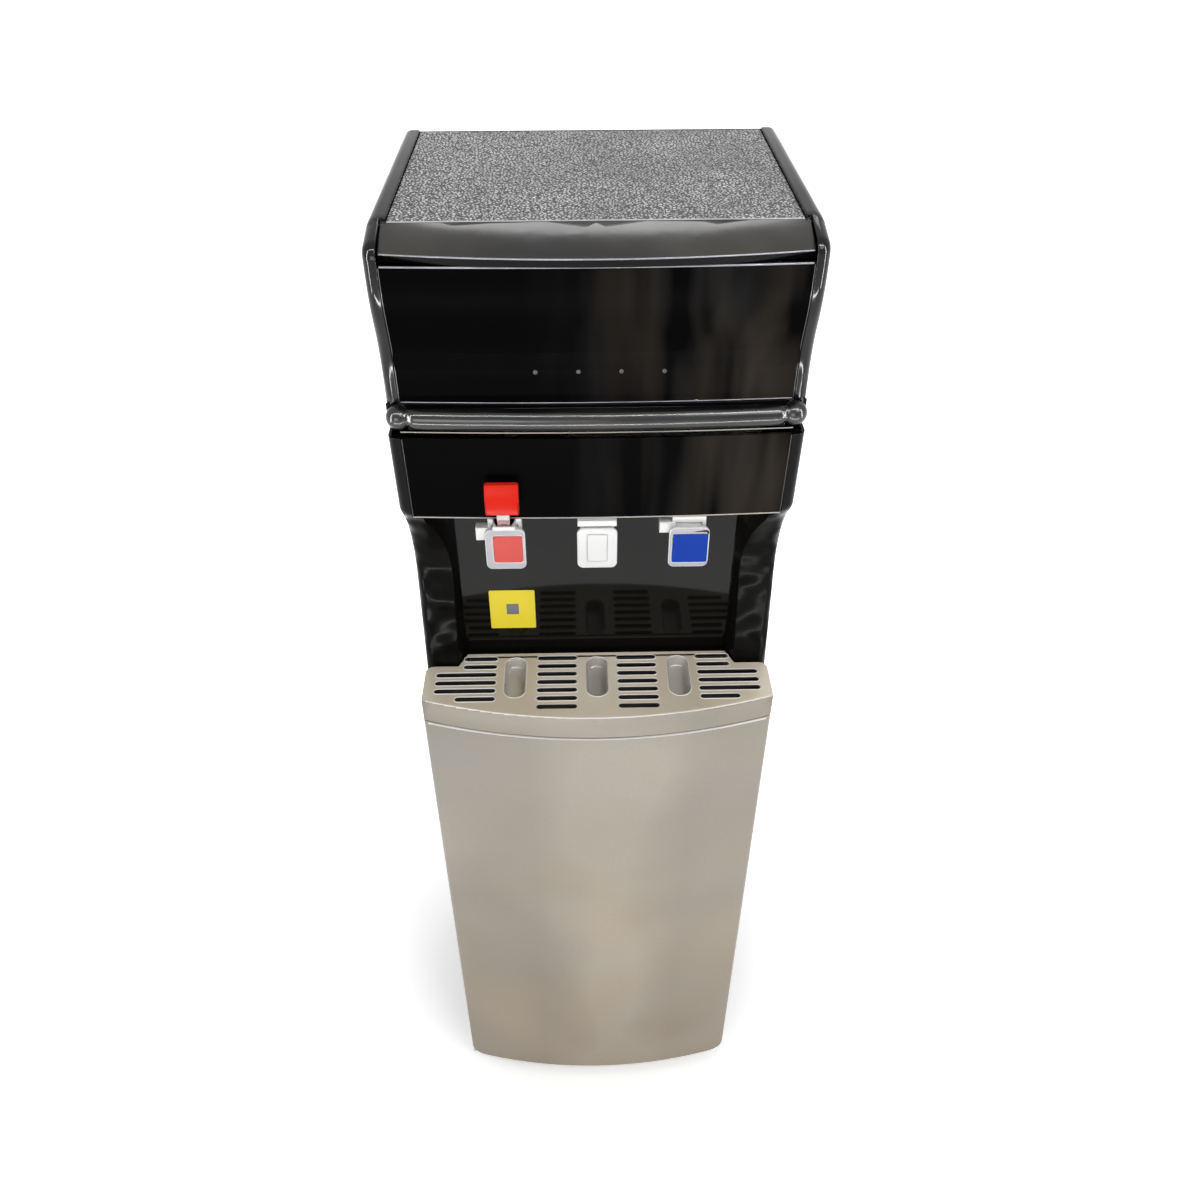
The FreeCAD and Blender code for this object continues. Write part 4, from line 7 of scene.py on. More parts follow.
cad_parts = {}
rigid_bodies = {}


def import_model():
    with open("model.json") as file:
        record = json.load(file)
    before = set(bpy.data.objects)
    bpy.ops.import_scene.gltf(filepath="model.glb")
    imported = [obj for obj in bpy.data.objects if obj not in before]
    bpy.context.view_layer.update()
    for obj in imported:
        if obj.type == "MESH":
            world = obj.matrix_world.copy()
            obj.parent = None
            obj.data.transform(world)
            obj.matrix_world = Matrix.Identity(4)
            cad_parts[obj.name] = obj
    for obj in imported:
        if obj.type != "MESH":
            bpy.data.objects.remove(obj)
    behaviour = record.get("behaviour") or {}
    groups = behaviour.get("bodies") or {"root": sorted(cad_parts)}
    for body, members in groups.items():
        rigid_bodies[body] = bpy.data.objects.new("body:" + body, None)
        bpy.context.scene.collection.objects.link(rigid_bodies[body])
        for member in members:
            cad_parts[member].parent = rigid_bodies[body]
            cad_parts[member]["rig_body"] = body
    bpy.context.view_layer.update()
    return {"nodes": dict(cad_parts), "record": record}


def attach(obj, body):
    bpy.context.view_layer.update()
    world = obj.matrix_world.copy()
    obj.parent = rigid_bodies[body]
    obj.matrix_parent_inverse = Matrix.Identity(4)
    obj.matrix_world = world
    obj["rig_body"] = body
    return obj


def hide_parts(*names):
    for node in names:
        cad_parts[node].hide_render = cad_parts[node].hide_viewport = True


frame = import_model()
scene = bpy.context.scene
nodes = frame["nodes"]
slot_of = {row["node"]: row["material_slot"] for row in frame["record"]["subparts"]}


# Materials

class Shader:
    """A principled material under construction."""

    def __init__(self, name, **sockets):
        self.material = bpy.data.materials.new(name)
        self.material.use_nodes = True
        self.tree = self.material.node_tree
        self.surface = self.tree.nodes["Principled BSDF"]
        for socket, value in sockets.items():
            self.surface.inputs[socket.replace("_", " ")].default_value = value
        self.place = self.add("ShaderNodeTexCoord").outputs["Object"]

    def add(self, kind, **inputs):
        item = self.tree.nodes.new(kind)
        for name, value in inputs.items():
            self.feed(item.inputs[name.replace("_", " ")], value)
        return item

    def feed(self, socket, value):
        if isinstance(value, bpy.types.NodeSocket):
            self.tree.links.new(value, socket)
        else:
            socket.default_value = value

    def noise(self, scale, detail=3.0, stretch=(1, 1, 1), distortion=0.0):
        place = self.add("ShaderNodeMapping", Vector=self.place, Scale=stretch).outputs["Vector"]
        texture = self.add(
            "ShaderNodeTexNoise", Vector=place, Scale=scale, Detail=detail, Distortion=distortion)
        return texture.outputs["Fac"]

    def ramp(self, value, stops):
        """Colours over value; stops are (position, colour)."""
        item = self.add("ShaderNodeValToRGB", Fac=value)
        elements = item.color_ramp.elements
        for number, (position, colour) in enumerate(stops):
            element = elements[number] if number < 2 else elements.new(position)
            element.position = position
            element.color = (*colour, 1)
        return item.outputs["Color"]

    def greys(self, value, stops):
        """Greys over value; stops are (position, level)."""
        return self.ramp(value, [(position, (level, level, level)) for position, level in stops])

    def span(self, value, low, high, start=0.3, end=0.7):
        """Value stretched from start and end to low and high, and held there."""
        item = self.add("ShaderNodeMapRange", Value=value)
        item.inputs["From Min"].default_value = start
        item.inputs["From Max"].default_value = end
        item.inputs["To Min"].default_value = low
        item.inputs["To Max"].default_value = high
        return item.outputs["Result"]

    def maths(self, operation, first, second):
        item = self.add("ShaderNodeMath")
        item.operation = operation
        self.feed(item.inputs[0], first)
        self.feed(item.inputs[1], second)
        return item.outputs[0]

    def mix(self, factor, first, second, kind="MIX"):
        item = self.add("ShaderNodeMix")
        item.data_type = "RGBA"
        item.blend_type = kind
        for name, value in (("Factor", factor), ("A", first), ("B", second)):
            socket = next(socket for socket in item.inputs if socket.name == name and socket.enabled)
            self.feed(socket, (*value, 1) if isinstance(value, tuple) else value)
        return next(socket for socket in item.outputs if socket.enabled)

    def axis(self, name):
        return self.add("ShaderNodeSeparateXYZ", Vector=self.place).outputs[name]

    def colour(self, source):
        self.tree.links.new(source, self.surface.inputs["Base Color"])

    def rough(self, source):
        self.tree.links.new(source, self.surface.inputs["Roughness"])

    def bump(self, source, strength, distance):
        item = self.add("ShaderNodeBump", Height=source, Strength=strength, Distance=distance)
        self.tree.links.new(item.outputs["Normal"], self.surface.inputs["Normal"])


def shade(colour, factor):
    return tuple(part * factor for part in colour)


def plastic(name, colour, roughness, spread=0.12, scale=60.0, bump=0.02, grain=400.0, **sockets):
    """Moulded plastic, rubber or paint: slight blotches, uneven gloss and a fine grain."""
    shader = Shader(name, **sockets)
    dark, light = shade(colour, 1 - spread), shade(colour, 1 + spread)
    shader.colour(shader.ramp(shader.noise(scale * 0.2), [(0.3, dark), (0.7, light)]))
    shader.rough(shader.span(shader.noise(scale), roughness * 0.85, roughness * 1.15))
    shader.bump(shader.noise(grain), bump, 0.0004)
    return shader.material


def gloss(name, colour, roughness, level, wave, waves=14.0, depth=0.002, tint=None):
    """Polished black moulding: faint waves from the mould, dust and a slightly uneven gloss.

    Level is how strongly it mirrors, wave and depth how much its waves bend what it mirrors.
    """
    shader = Shader(name, Specular_IOR_Level=level)
    broad = shader.noise(waves * 0.6)
    shader.colour(shader.ramp(broad, [(0.3, colour), (0.7, tint or shade(colour, 1.6))]))
    dust = shader.span(shader.noise(1400.0, detail=1.0), 0.0, 0.06, 0.66, 0.8)
    base = shader.span(shader.noise(45.0), roughness * 0.8, roughness * 1.2)
    shader.rough(shader.maths("ADD", base, dust))
    shader.bump(shader.noise(waves, detail=1.0), wave, depth)
    return shader.material


def brushed(name, colour, roughness, stretch=(1, 1, 0.03), metal=1.0):
    """Bare metal with fine lines, or a fine crystal pattern where they aren't stretched."""
    shader = Shader(name, Metallic=metal)
    lines = shader.noise(900.0, stretch=stretch)
    shader.colour(shader.ramp(lines, [(0.3, shade(colour, 0.85)), (0.7, shade(colour, 1.1))]))
    shader.rough(shader.span(lines, roughness * 0.8, roughness * 1.2))
    shader.bump(lines, 0.05, 0.0002)
    return shader.material


def silver_paint(name, tint, metal=0.3, coat=0.2, rough=(0.3, 0.42)):
    """Champagne silver paint: fine flakes under a clear coat, with painted reflections as broad soft
    mottling and painted light and shade by height.
    """
    reflection_band_place, reflection_band_core, reflection_band_reach = 0.012, 0.01, 0.075
    shader = Shader(
        name, Metallic=metal, Coat_Weight=coat, Coat_Roughness=0.12, Specular_IOR_Level=0.4)
    height = shader.span(shader.axis("Z"), 0.0, 1.0, 0.0, 0.6)
    warm = shader.span(shader.noise(7.0, detail=1.0, distortion=1.2), 0.0, 1.0)
    # painted shade and light by height: warmer, darker colours at the foot; the greys lightest about 0.3 m
    # up and darker towards the top
    low = shader.mix(warm, (0.29, 0.225, 0.15), (0.28, 0.24, 0.18))
    high = shader.mix(warm, (0.34, 0.305, 0.245), (0.335, 0.31, 0.265))
    light = shader.greys(height, [(0.0, 0.98), (0.5, 1.1), (0.78, 0.84), (1.0, 0.78)])
    base = shader.mix(1.0, shader.mix(height, low, high), light, "MULTIPLY")
    # painted reflection: an upright lighter band near the middle across
    offset = shader.maths("SUBTRACT", shader.axis("X"), reflection_band_place)
    painted_reflection_band = shader.span(
        shader.maths("ABSOLUTE", offset, 0.0), 1.12, 0.86, reflection_band_core, reflection_band_reach)
    # painted reflections: broad soft lighter and darker patches, times the band
    broad = shader.noise(4.2, detail=1.5, distortion=0.6)
    painted_reflection_patches = shader.maths("MULTIPLY", shader.span(broad, 0.8, 1.06, 0.36, 0.62), painted_reflection_band)
    # the tint scales the colour; well above 1, on the cover's top faces, it is painted light
    base = shader.mix(1.0, base, shader.ramp(painted_reflection_patches, [(0.0, (0, 0, 0)), (1.0, tint)]), "MULTIPLY")
    flakes = shader.noise(2100.0, detail=1.0)
    bright = shader.mix(1.0, base, (1.22, 1.22, 1.22), "MULTIPLY")
    shader.colour(shader.mix(shader.span(flakes, 0.0, 1.0), base, bright))
    shader.rough(shader.span(broad, *rough))
    shader.bump(flakes, 0.03, 0.0001)
    return shader.material


def panel_gloss():
    """Polished black front with painted reflections: faint upright streaks that grow towards the right."""
    shader = Shader("panel_black", Specular_IOR_Level=0.006)
    painted_reflection_streaks = shader.noise(30.0, detail=2.0, stretch=(1, 1, 0.1), distortion=0.4)
    tone = shader.noise(13.0, detail=1.0, stretch=(1, 1, 0.1))
    growth = shader.span(shader.axis("X"), 0.0, 1.0, -0.05, 0.1)
    cold, warm = (0.014, 0.017, 0.021), (0.04, 0.033, 0.026)
    painted_reflection_colour = shader.mix(shader.span(tone, 0.0, 1.0, 0.42, 0.58), cold, warm)
    # painted reflections mixed into the black
    amount = shader.maths("MULTIPLY", growth, shader.span(painted_reflection_streaks, 0.0, 1.0, 0.4, 0.66))
    shader.colour(shader.mix(amount, (0.0018, 0.0018, 0.0022), painted_reflection_colour))
    shader.rough(shader.span(shader.noise(45.0), 0.28, 0.36))
    shader.bump(shader.noise(5.0, detail=1.0), 0.1, 0.002)
    return shader.material


def grained_top_painted_highlights():
    """Black sheet with a fine pebbled grain whose crests carry painted highlights."""
    shader = Shader("grained_top_painted_highlights", Specular_IOR_Level=0.5)
    wander = shader.add("ShaderNodeTexNoise", Vector=shader.place, Scale=260.0, Detail=2.0)
    bend = shader.add("ShaderNodeVectorMath")
    bend.operation = "MULTIPLY_ADD"
    shader.feed(bend.inputs[0], wander.outputs["Color"])
    bend.inputs[1].default_value = (0.0026, 0.0026, 0.0)
    shader.feed(bend.inputs[2], shader.place)
    cells = shader.add("ShaderNodeTexVoronoi", Vector=bend.outputs[0], Scale=380.0)
    cells.feature = "DISTANCE_TO_EDGE"
    height = shader.span(cells.outputs["Distance"], 0.0, 1.0, 0.12, 0.32)
    # painted highlights: pale colour on the crests of the black grain
    painted_crest_highlight = shader.ramp(shader.noise(16.0), [(0.34, (0.6, 0.6, 0.6)), (0.68, (0.95, 0.96, 0.96))])
    # painted light: the crests lighter still towards the left edge
    left = shader.span(shader.axis("X"), 1.0, 0.0, -0.15, 0.0)
    painted_crest_highlight = shader.mix(left, painted_crest_highlight, (0.96, 0.98, 0.98))
    shader.colour(shader.mix(height, (0.004, 0.004, 0.0045), painted_crest_highlight))
    shader.rough(shader.span(height, 0.55, 0.25, 0.0, 1.0))
    shader.bump(height, 0.5, 0.0006)
    return shader.material


def lamp_lens():
    """Smoky clear plastic, dark while the lamp behind it is off."""
    shader = Shader("lamp_lens", Transmission_Weight=0.3, IOR=1.45)
    cloud = shader.noise(500.0)
    shader.colour(shader.ramp(cloud, [(0.3, (0.06, 0.06, 0.065)), (0.7, (0.12, 0.12, 0.13))]))
    shader.rough(shader.span(cloud, 0.1, 0.2))
    return shader.material


def lock_bands():
    """The lock's stem: clear white above, dark red in the middle, white at its foot."""
    shader = Shader("lock_bands", Specular_IOR_Level=0.5)
    foot, top = 0.786, 0.804
    level = shader.span(shader.axis("Z"), 0.0, 1.0, foot, top)
    white, red, clear = (0.8, 0.8, 0.78), (0.22, 0.03, 0.025), (0.55, 0.54, 0.52)
    stops = [(0.0, white), (0.28, white), (0.32, red), (0.56, red), (0.6, clear), (1.0, clear)]
    shader.colour(shader.ramp(level, stops))
    shader.rough(shader.span(shader.noise(300.0), 0.2, 0.3))
    return shader.material


BLACK = (0.0022, 0.0022, 0.0026)
looks = {
    "gloss_black": gloss("gloss_black", BLACK, 0.08, 0.09, 0.3),
    "rail_black": gloss("rail_black", BLACK, 0.09, 0.26, 0.5, waves=22.0),
    # painted reflection: broad warm grey patches on the bead's black
    "bead_black": gloss("bead_black", BLACK, 0.2, 0.5, 0.4, waves=24.0, tint=(0.02, 0.017, 0.014)),
    # painted reflection: the brow's black is lighter and browner than the rest, with broad grey-brown
    # patches
    "brow_black": gloss(
        "brow_black", (0.008, 0.007, 0.006), 0.17, 0.4, 0.35, waves=20.0, tint=(0.045, 0.04, 0.032)),
    "wall_black": gloss("wall_black", (0.004, 0.0038, 0.0032), 0.06, 0.2, 0.1, waves=6.0),
    "cheek_black": gloss(
        "cheek_black", (0.004, 0.0038, 0.0034), 0.2, 0.03, 1.0, waves=26.0, depth=0.01),
    "panel_black": panel_gloss(),
    "silver": silver_paint("silver", (1.0, 1.0, 1.0)),
    "cover_silver": silver_paint("cover_silver", (1.2, 1.19, 1.18), 0.1, 0.0, (0.45, 0.55)),
    # painted light: the cover's paint lifted almost threefold for its top faces, which lie in the head's
    # shade
    "cover_top_painted_light": silver_paint("cover_top_painted_light", (2.95, 2.87, 2.75), 0.0),
    # painted highlight: pale colour for the rims of the slots, the holes and the cover's front edge
    "rim_painted_highlight": plastic("rim_painted_highlight", (0.82, 0.79, 0.73), 0.25),
    # painted highlight on the insert's front edge
    "insert_painted_highlight": plastic("insert_painted_highlight", (0.5, 0.49, 0.47), 0.3, spread=0.3, scale=70),
    # painted highlight down the panels' sides
    "faint_painted_highlight": plastic("faint_painted_highlight", (0.13, 0.125, 0.12), 0.2, spread=0.4, scale=50),
    "slot_shade": plastic("slot_shade", (0.02, 0.019, 0.017), 0.5, spread=0.3),
    # painted highlight along the door's top
    "pale_painted_highlight": plastic("pale_painted_highlight", (0.78, 0.76, 0.72), 0.2, spread=0.08, scale=40),
    # painted highlight along the brow and the control panel's top and foot
    "bright_painted_highlight": plastic(
        "bright_painted_highlight", (0.3, 0.31, 0.35), 0.12, spread=0.3, scale=90, Specular_IOR_Level=0.9),
    # painted highlight along the lower panel's foot and the head's foot under the bead
    "beige_painted_highlight": plastic("beige_painted_highlight", (0.42, 0.39, 0.35), 0.22, spread=0.25, scale=90),
    "grained_painted_highlights": grained_top_painted_highlights(),
    "side_black": plastic("side_black", (0.014, 0.014, 0.015), 0.42, spread=0.04, bump=0.12, grain=900),
    "matt_black": plastic("matt_black", (0.02, 0.02, 0.021), 0.6, bump=0.2, grain=700),
    "rubber": plastic("rubber", (0.016, 0.016, 0.016), 0.8, bump=0.3, grain=600),
    "liner": plastic("liner", (0.16, 0.16, 0.165), 0.45, bump=0.08, grain=500),
    "white": plastic("white", (0.76, 0.76, 0.75), 0.22, spread=0.03, bump=0.01),
    "lilac": plastic("lilac", (0.36, 0.36, 0.4), 0.3, spread=0.05, bump=0.02),
    "red": plastic("red", (0.72, 0.085, 0.07), 0.3, spread=0.06, bump=0.02, Specular_IOR_Level=0.1),
    "lock_red": plastic(
        "lock_red", (0.78, 0.022, 0.01), 0.2, spread=0.06, bump=0.01, Specular_IOR_Level=0.06),
    "blue": plastic(
        "blue", (0.008, 0.055, 0.43), 0.3, spread=0.08, bump=0.01, Specular_IOR_Level=0.03),
    "yellow": plastic(
        "yellow", (0.96, 0.78, 0.05), 0.4, spread=0.04, bump=0.02, Specular_IOR_Level=0.1),
    "grey": plastic("grey", (0.13, 0.12, 0.13), 0.4, spread=0.06, bump=0.02),
    "frost": plastic("frost", (0.46, 0.435, 0.39), 0.3, spread=0.18, scale=60, Coat_Weight=0.4),
    "foam": plastic("foam", (0.72, 0.7, 0.64), 0.8, spread=0.05, bump=0.5, grain=300),
    "tube": plastic("tube", (0.62, 0.62, 0.6), 0.3, spread=0.05),
    "green": plastic("green", (0.02, 0.15, 0.05), 0.35),
    "switch_green": plastic("switch_green", (0.02, 0.3, 0.08), 0.25),
    "steel": brushed("steel", (0.62, 0.62, 0.63), 0.32),
    "galvanised": brushed("galvanised", (0.4, 0.41, 0.42), 0.62, stretch=(1, 1, 1), metal=0.7),
    "copper": brushed("copper", (0.72, 0.36, 0.2), 0.3),
    "lens": lamp_lens(),
    "bands": lock_bands(),
}

BY_NODE = {
    "gloss_black": "alcove_housing head_cover",
    "panel_black": "control_panel lower_front_panel",
    "silver": "door_skin",
    "cover_silver": "drip_cover",
    "grained_painted_highlights": "top_insert",
    "side_black": "side_panel_left side_panel_right compressor condenser_coil condenser_wires",
    "matt_black": "base_tray drip_basin door_catch water_pump pump_bracket probe_clip switch_frame"
                  " mains_gland",
    "rubber": "foot_pads compressor_mounts",
    "liner": "bottle_guide door_liner",
    "white": "hot_tap_body room_tap_body cold_tap_body hot_paddle room_paddle cold_paddle tap_nuts"
             " suction_probe drain_outlet drain_cap",
    "red": "hot_tile hot_switch",
    "lock_red": "lock_cap",
    "blue": "cold_tile",
    "bands": "lock_stem",
    "lens": "indicator_lamps",
    "green": "control_board",
    "switch_green": "cold_switch",
    "galvanised": "rear_panel mid_deck tank_shelf condenser_brackets",
    "steel": "door_hinge_lower door_hinge_upper catch_plate paddle_pins hot_tank cold_tank",
    "foam": "hot_tank_jacket hot_jacket_lid cold_tank_foam cold_foam_lid",
    "tube": "tap_tubes feed_tube suction_riser",
    "copper": "discharge_line",
}
look_of = {}
for look, names in BY_NODE.items():
    for name in names.split():
        look_of[name] = look
        slots = nodes[name].data.materials
        slots.clear()
        slots.append(looks[look])


# Mesh helpers; all lengths are in millimetres until a piece is made

MM = 0.001


def box_of(name):
    """Low and high corner of a CAD node, to a thousandth of a millimetre."""
    corners = [[round(value / MM, 3) for value in corner] for corner in nodes[name].bound_box]
    return [[limit(values) for values in zip(*corners)] for limit in (min, max)]


def new_object(name, mesh):
    item = bpy.data.objects.new(name, mesh)
    scene.collection.objects.link(item)
    return item


def applied(item):
    """Turn an object's modifiers into its mesh."""
    bpy.context.view_layer.update()
    graph = bpy.context.evaluated_depsgraph_get()
    mesh = bpy.data.meshes.new_from_object(item.evaluated_get(graph), depsgraph=graph)
    item.modifiers.clear()
    item.data = mesh


def smooth(mesh, angle):
    """Smooth shading, broken at edges sharper than angle in degrees."""
    for face in mesh.polygons:
        face.use_smooth = True
    mesh.set_sharp_from_angle(angle=math.radians(angle))


def finish_piece(item, look, body, slot, *replaced):
    """Give a piece its material and body, and hide the nodes that it replaces; the slot is not used."""
    item.data.materials.clear()
    item.data.materials.append(looks[look])
    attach(item, body)
    if replaced:
        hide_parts(*replaced)
    return item


def paint(item, look, wanted):
    """Give another material to the faces for which wanted(centre, normal) holds, in millimetres."""
    item.data.materials.append(looks[look])
    index = len(item.data.materials) - 1
    for face in item.data.polygons:
        if wanted(face.center / MM, face.normal):
            face.material_index = index


def band(low, high, count):
    """Faces between two rings of count points that start at low and high."""
    afters = [(index + 1) % count for index in range(count)]
    return [(low + index, low + after, high + after, high + index) for index, after in enumerate(afters)]


def skin(rings):
    """Points and faces of a closed surface through rings of equal length."""
    count = len(rings[0])
    last = (len(rings) - 1) * count
    points = [point for ring in rings for point in ring]
    faces = []
    for low in range(0, last, count):
        faces += band(low, low + count, count)
    faces.append(tuple(range(count)))
    faces.append(tuple(range(last, last + count)))
    return points, faces


def solid(name, parts, angle=30.0):
    """An object from closed surfaces, each given as its points and faces."""
    mesh = bpy.data.meshes.new(name)
    points, faces = [], []
    for part_points, part_faces in parts:
        start = len(points)
        points += [Vector(point) * MM for point in part_points]
        faces += [tuple(start + index for index in face) for face in part_faces]
    mesh.from_pydata(points, [], faces)
    work = bmesh.new()
    work.from_mesh(mesh)
    bmesh.ops.recalc_face_normals(work, faces=work.faces)
    work.to_mesh(mesh)
    work.free()
    smooth(mesh, angle)
    return new_object(name, mesh)


def block(xs, ys, zs):
    """Points and faces of a box."""
    points = [(x, y, z) for z in zs for y in ys for x in xs]
    faces = [(0, 1, 3, 2), (4, 5, 7, 6), (0, 1, 5, 4), (2, 3, 7, 6), (0, 2, 6, 4), (1, 3, 7, 5)]
    return points, faces


def around(count):
    """Angles of count points round a circle."""
    return [math.tau * number / count for number in range(count)]


def spread_out(half, count):
    """Places from -half to half in count equal steps."""
    return [half * (number * 2 / count - 1) for number in range(count + 1)]


def tube(path, radius, sides=16):
    """A round tube along a path of points that lie close together."""
    points = [Vector(point) for point in path]
    rings = []
    side = None
    for number, point in enumerate(points):
        before = points[max(number - 1, 0)]
        after = points[min(number + 1, len(points) - 1)]
        along = (after - before).normalized()
        if side is None:
            side = along.orthogonal()
        side = (side - along * side.dot(along)).normalized()
        other = along.cross(side)
        spokes = [side * math.cos(turn) + other * math.sin(turn) for turn in around(sides)]
        rings.append([point + spoke * radius for spoke in spokes])
    return skin(rings)


def mark_edges(mesh, corner, wanted):
    """Give full bevel weight to the sharp edges whose middle is wanted."""
    work = bmesh.new()
    work.from_mesh(mesh)
    layer = work.edges.layers.float.new("bevel_weight_edge")
    for edge in work.edges:
        middle = (edge.verts[0].co + edge.verts[1].co) / 2 / MM
        sharp = len(edge.link_faces) == 2 and edge.calc_face_angle() > math.radians(corner)
        edge[layer] = 1.0 if sharp and wanted(middle) else 0.0
    work.to_mesh(mesh)
    work.free()


def clean_copy(node):
    """A new object with the mesh of a CAD node, its flat faces joined."""
    source = nodes[node].data
    mesh = bpy.data.meshes.new(node + "_finish")
    mesh.from_pydata([v.co for v in source.vertices], [], [tuple(p.vertices) for p in source.polygons])
    work = bmesh.new()
    work.from_mesh(mesh)
    bmesh.ops.remove_doubles(work, verts=work.verts, dist=2e-6)
    bmesh.ops.recalc_face_normals(work, faces=work.faces)
    bmesh.ops.dissolve_limit(work, angle_limit=math.radians(0.3), verts=work.verts, edges=work.edges)
    work.to_mesh(mesh)
    work.free()
    return new_object(node + "_finish", mesh)


def cut_away(item, cutters):
    """Take closed surfaces, each given as its points and faces, out of an object."""
    helpers = [solid("cutter", [cutter]) for cutter in cutters]
    for helper in helpers:
        cut = item.modifiers.new("cut", "BOOLEAN")
        cut.object = helper
        cut.operation = "DIFFERENCE"
        cut.solver = "EXACT"
    applied(item)
    for helper in helpers:
        bpy.data.objects.remove(helper)


def softened(node, width, segments=2, corner=35.0, cutters=(), wanted=None):
    """A copy of a CAD node with rounded edges, which is shown in its place.

    Edges sharper than corner in degrees are rounded, and where wanted is given, only those
    whose middle, in millimetres, is wanted. The level faces are then shaded flat.
    """
    item = clean_copy(node)
    if cutters:
        cut_away(item, cutters)
    for face in item.data.polygons:
        face.use_smooth = True
    bevel = item.modifiers.new("bevel", "BEVEL")
    bevel.width = width * MM
    bevel.segments = segments
    bevel.limit_method = "ANGLE"
    bevel.angle_limit = math.radians(corner)
    bevel.use_clamp_overlap = False
    bevel.harden_normals = True
    if wanted:
        mark_edges(item.data, corner, wanted)
        bevel.limit_method = "WEIGHT"
    applied(item)
    if wanted:
        smooth(item.data, corner)
        for face in item.data.polygons:
            face.use_smooth = abs(face.normal.z) < 0.9995
    return finish_piece(item, look_of[node], nodes[node]["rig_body"], slot_of[node], node)


# Edges that catch the light

SOFT_EDGES = {
    0.4: "hot_switch cold_switch lock_stem",
    0.6: "alcove_housing hot_tap_body room_tap_body cold_tap_body switch_frame drain_cap",
    0.8: "hot_paddle room_paddle cold_paddle",
    0.3: "hot_tile cold_tile",
    1.0: "lock_cap",
}
finished = {}
for width, names in SOFT_EDGES.items():
    for name in names.split():
        finished[name] = softened(name, width)


# The paddles and the alcove's walls

WALL_HALF = 112


def on_cheek(centre, normal):
    """Whether a face of the alcove lies beside the rear wall, below the ceiling."""
    return centre.z < 790 and centre.y < -65 and abs(centre.x) > WALL_HALF


def on_rear_wall(centre, normal):
    faces_front = normal.y < -0.7
    return faces_front and centre.z < 800 and centre.y > -85 and abs(centre.x) < WALL_HALF


for name in ("hot_paddle", "cold_paddle"):
    paint(finished[name], "lilac", lambda centre, normal: normal.y < -0.93)
paint(finished["alcove_housing"], "cheek_black", on_cheek)
paint(finished["alcove_housing"], "wall_black", on_rear_wall)


# The door

(_, _, DOOR_FOOT), (DOOR_HALF, _, DOOR_TOP) = box_of("door_skin")


def corner_cutter(side, radius=16.0, margin=3.0):
    """What a rounded lower corner of the door leaves away."""
    inner = DOOR_HALF - radius
    outline = [(DOOR_HALF + margin, DOOR_FOOT - margin), (inner, DOOR_FOOT - margin)]
    for step in range(13):
        turn = math.radians(step * 7.5)
        outline.append((inner + radius * math.sin(turn), DOOR_FOOT + radius - radius * math.cos(turn)))
    outline.append((DOOR_HALF + margin, DOOR_FOOT + radius))
    return skin([[(side * across, depth, level) for across, level in outline] for depth in (-175, -100)])


door_corners = [corner_cutter(side) for side in (-1, 1)]
softened("door_skin", 0.6, cutters=door_corners)
softened("door_liner", 0.6, cutters=door_corners)


# The tray's cover

COVER_TOP = box_of("drip_cover")[1][2]
HOLE_PLACES = (-73, 0, 73)
HOLE_DEPTH = -112


def in_slot(centre, normal):
    """Whether a face belongs to the wall of a narrow slot."""
    front, back, half, hole_half = -156, -84, 146, 13
    upright = abs(normal.z) <= 0.3
    near_top = COVER_TOP - 3 < centre.z < COVER_TOP
    inside = front < centre.y < back and abs(centre.x) < half
    beside_holes = all(abs(centre.x - place) > hole_half for place in HOLE_PLACES)
    return upright and near_top and inside and beside_holes


def on_rim(middle):
    """Whether an edge belongs to the upper rim of a slot or a hole."""
    front, back, half = -150, -80.5, 148
    return middle.z > COVER_TOP - 0.5 and front < middle.y < back and abs(middle.x) < half


def rim_corners():
    """Corners of the rims: their neighbours, the direction into the opening and their place."""
    mesh = bmesh.new()
    mesh.from_mesh(nodes["drip_cover"].data)
    bmesh.ops.remove_doubles(mesh, verts=mesh.verts, dist=1e-6)
    links, inward, places = {}, {}, {}
    for edge in mesh.edges:
        middle = (edge.verts[0].co + edge.verts[1].co) / 2 / MM
        sharp = len(edge.link_faces) == 2 and edge.calc_face_angle() > 1.2
        if sharp and on_rim(middle):
            wall = min(edge.link_faces, key=lambda face: abs(face.normal.z))
            first, second = edge.verts
            for vert, other in ((first, second), (second, first)):
                links.setdefault(vert.index, []).append(other.index)
                inward[vert.index] = inward.get(vert.index, Vector()) + wall.normal
                places[vert.index] = vert.co / MM
    mesh.free()
    return links, inward, places


def outline_through(start, links):
    """Corners in order along the outline through start, and whether it closes."""
    chain, last, here = [], None, start
    while not chain or here != start:
        chain.append(here)
        onward = [other for other in links[here] if other != last]
        if not onward:
            return chain, False
        last, here = here, onward[0]
    return chain, True


def rim_lip(chain, inward, places, radius=0.55, out=0.5, sunk=0.15, sides=8):
    """A thin raised lip along one closed outline, just outside its opening."""
    points, faces = [], []
    for corner in chain:
        away = Vector((-inward[corner].x, -inward[corner].y, 0)).normalized()
        middle = places[corner] + away * out - Vector((0, 0, sunk))
        for turn in around(sides):
            rise = Vector((0, 0, radius * math.sin(turn)))
            points.append(tuple(middle + away * radius * math.cos(turn) + rise))
    for row in range(len(chain)):
        faces += band(row * sides, (row + 1) % len(chain) * sides, sides)
    return points, faces


def slot_lips():
    links, inward, places = rim_corners()
    left = set(links)
    lips = []
    while left:
        chain, closed = outline_through(min(left), links)
        left -= set(chain)
        if closed:
            lips.append(rim_lip(chain, inward, places))
    return lips


def oval(across, half_width, half_length, level):
    """Points of an upright slot's outline round one of the cover's holes."""
    straight = half_length - half_width
    ring = []
    for turn in around(48):
        depth = HOLE_DEPTH + math.copysign(straight, math.sin(turn)) + half_width * math.sin(turn)
        ring.append((across + half_width * math.cos(turn), depth, level))
    return ring


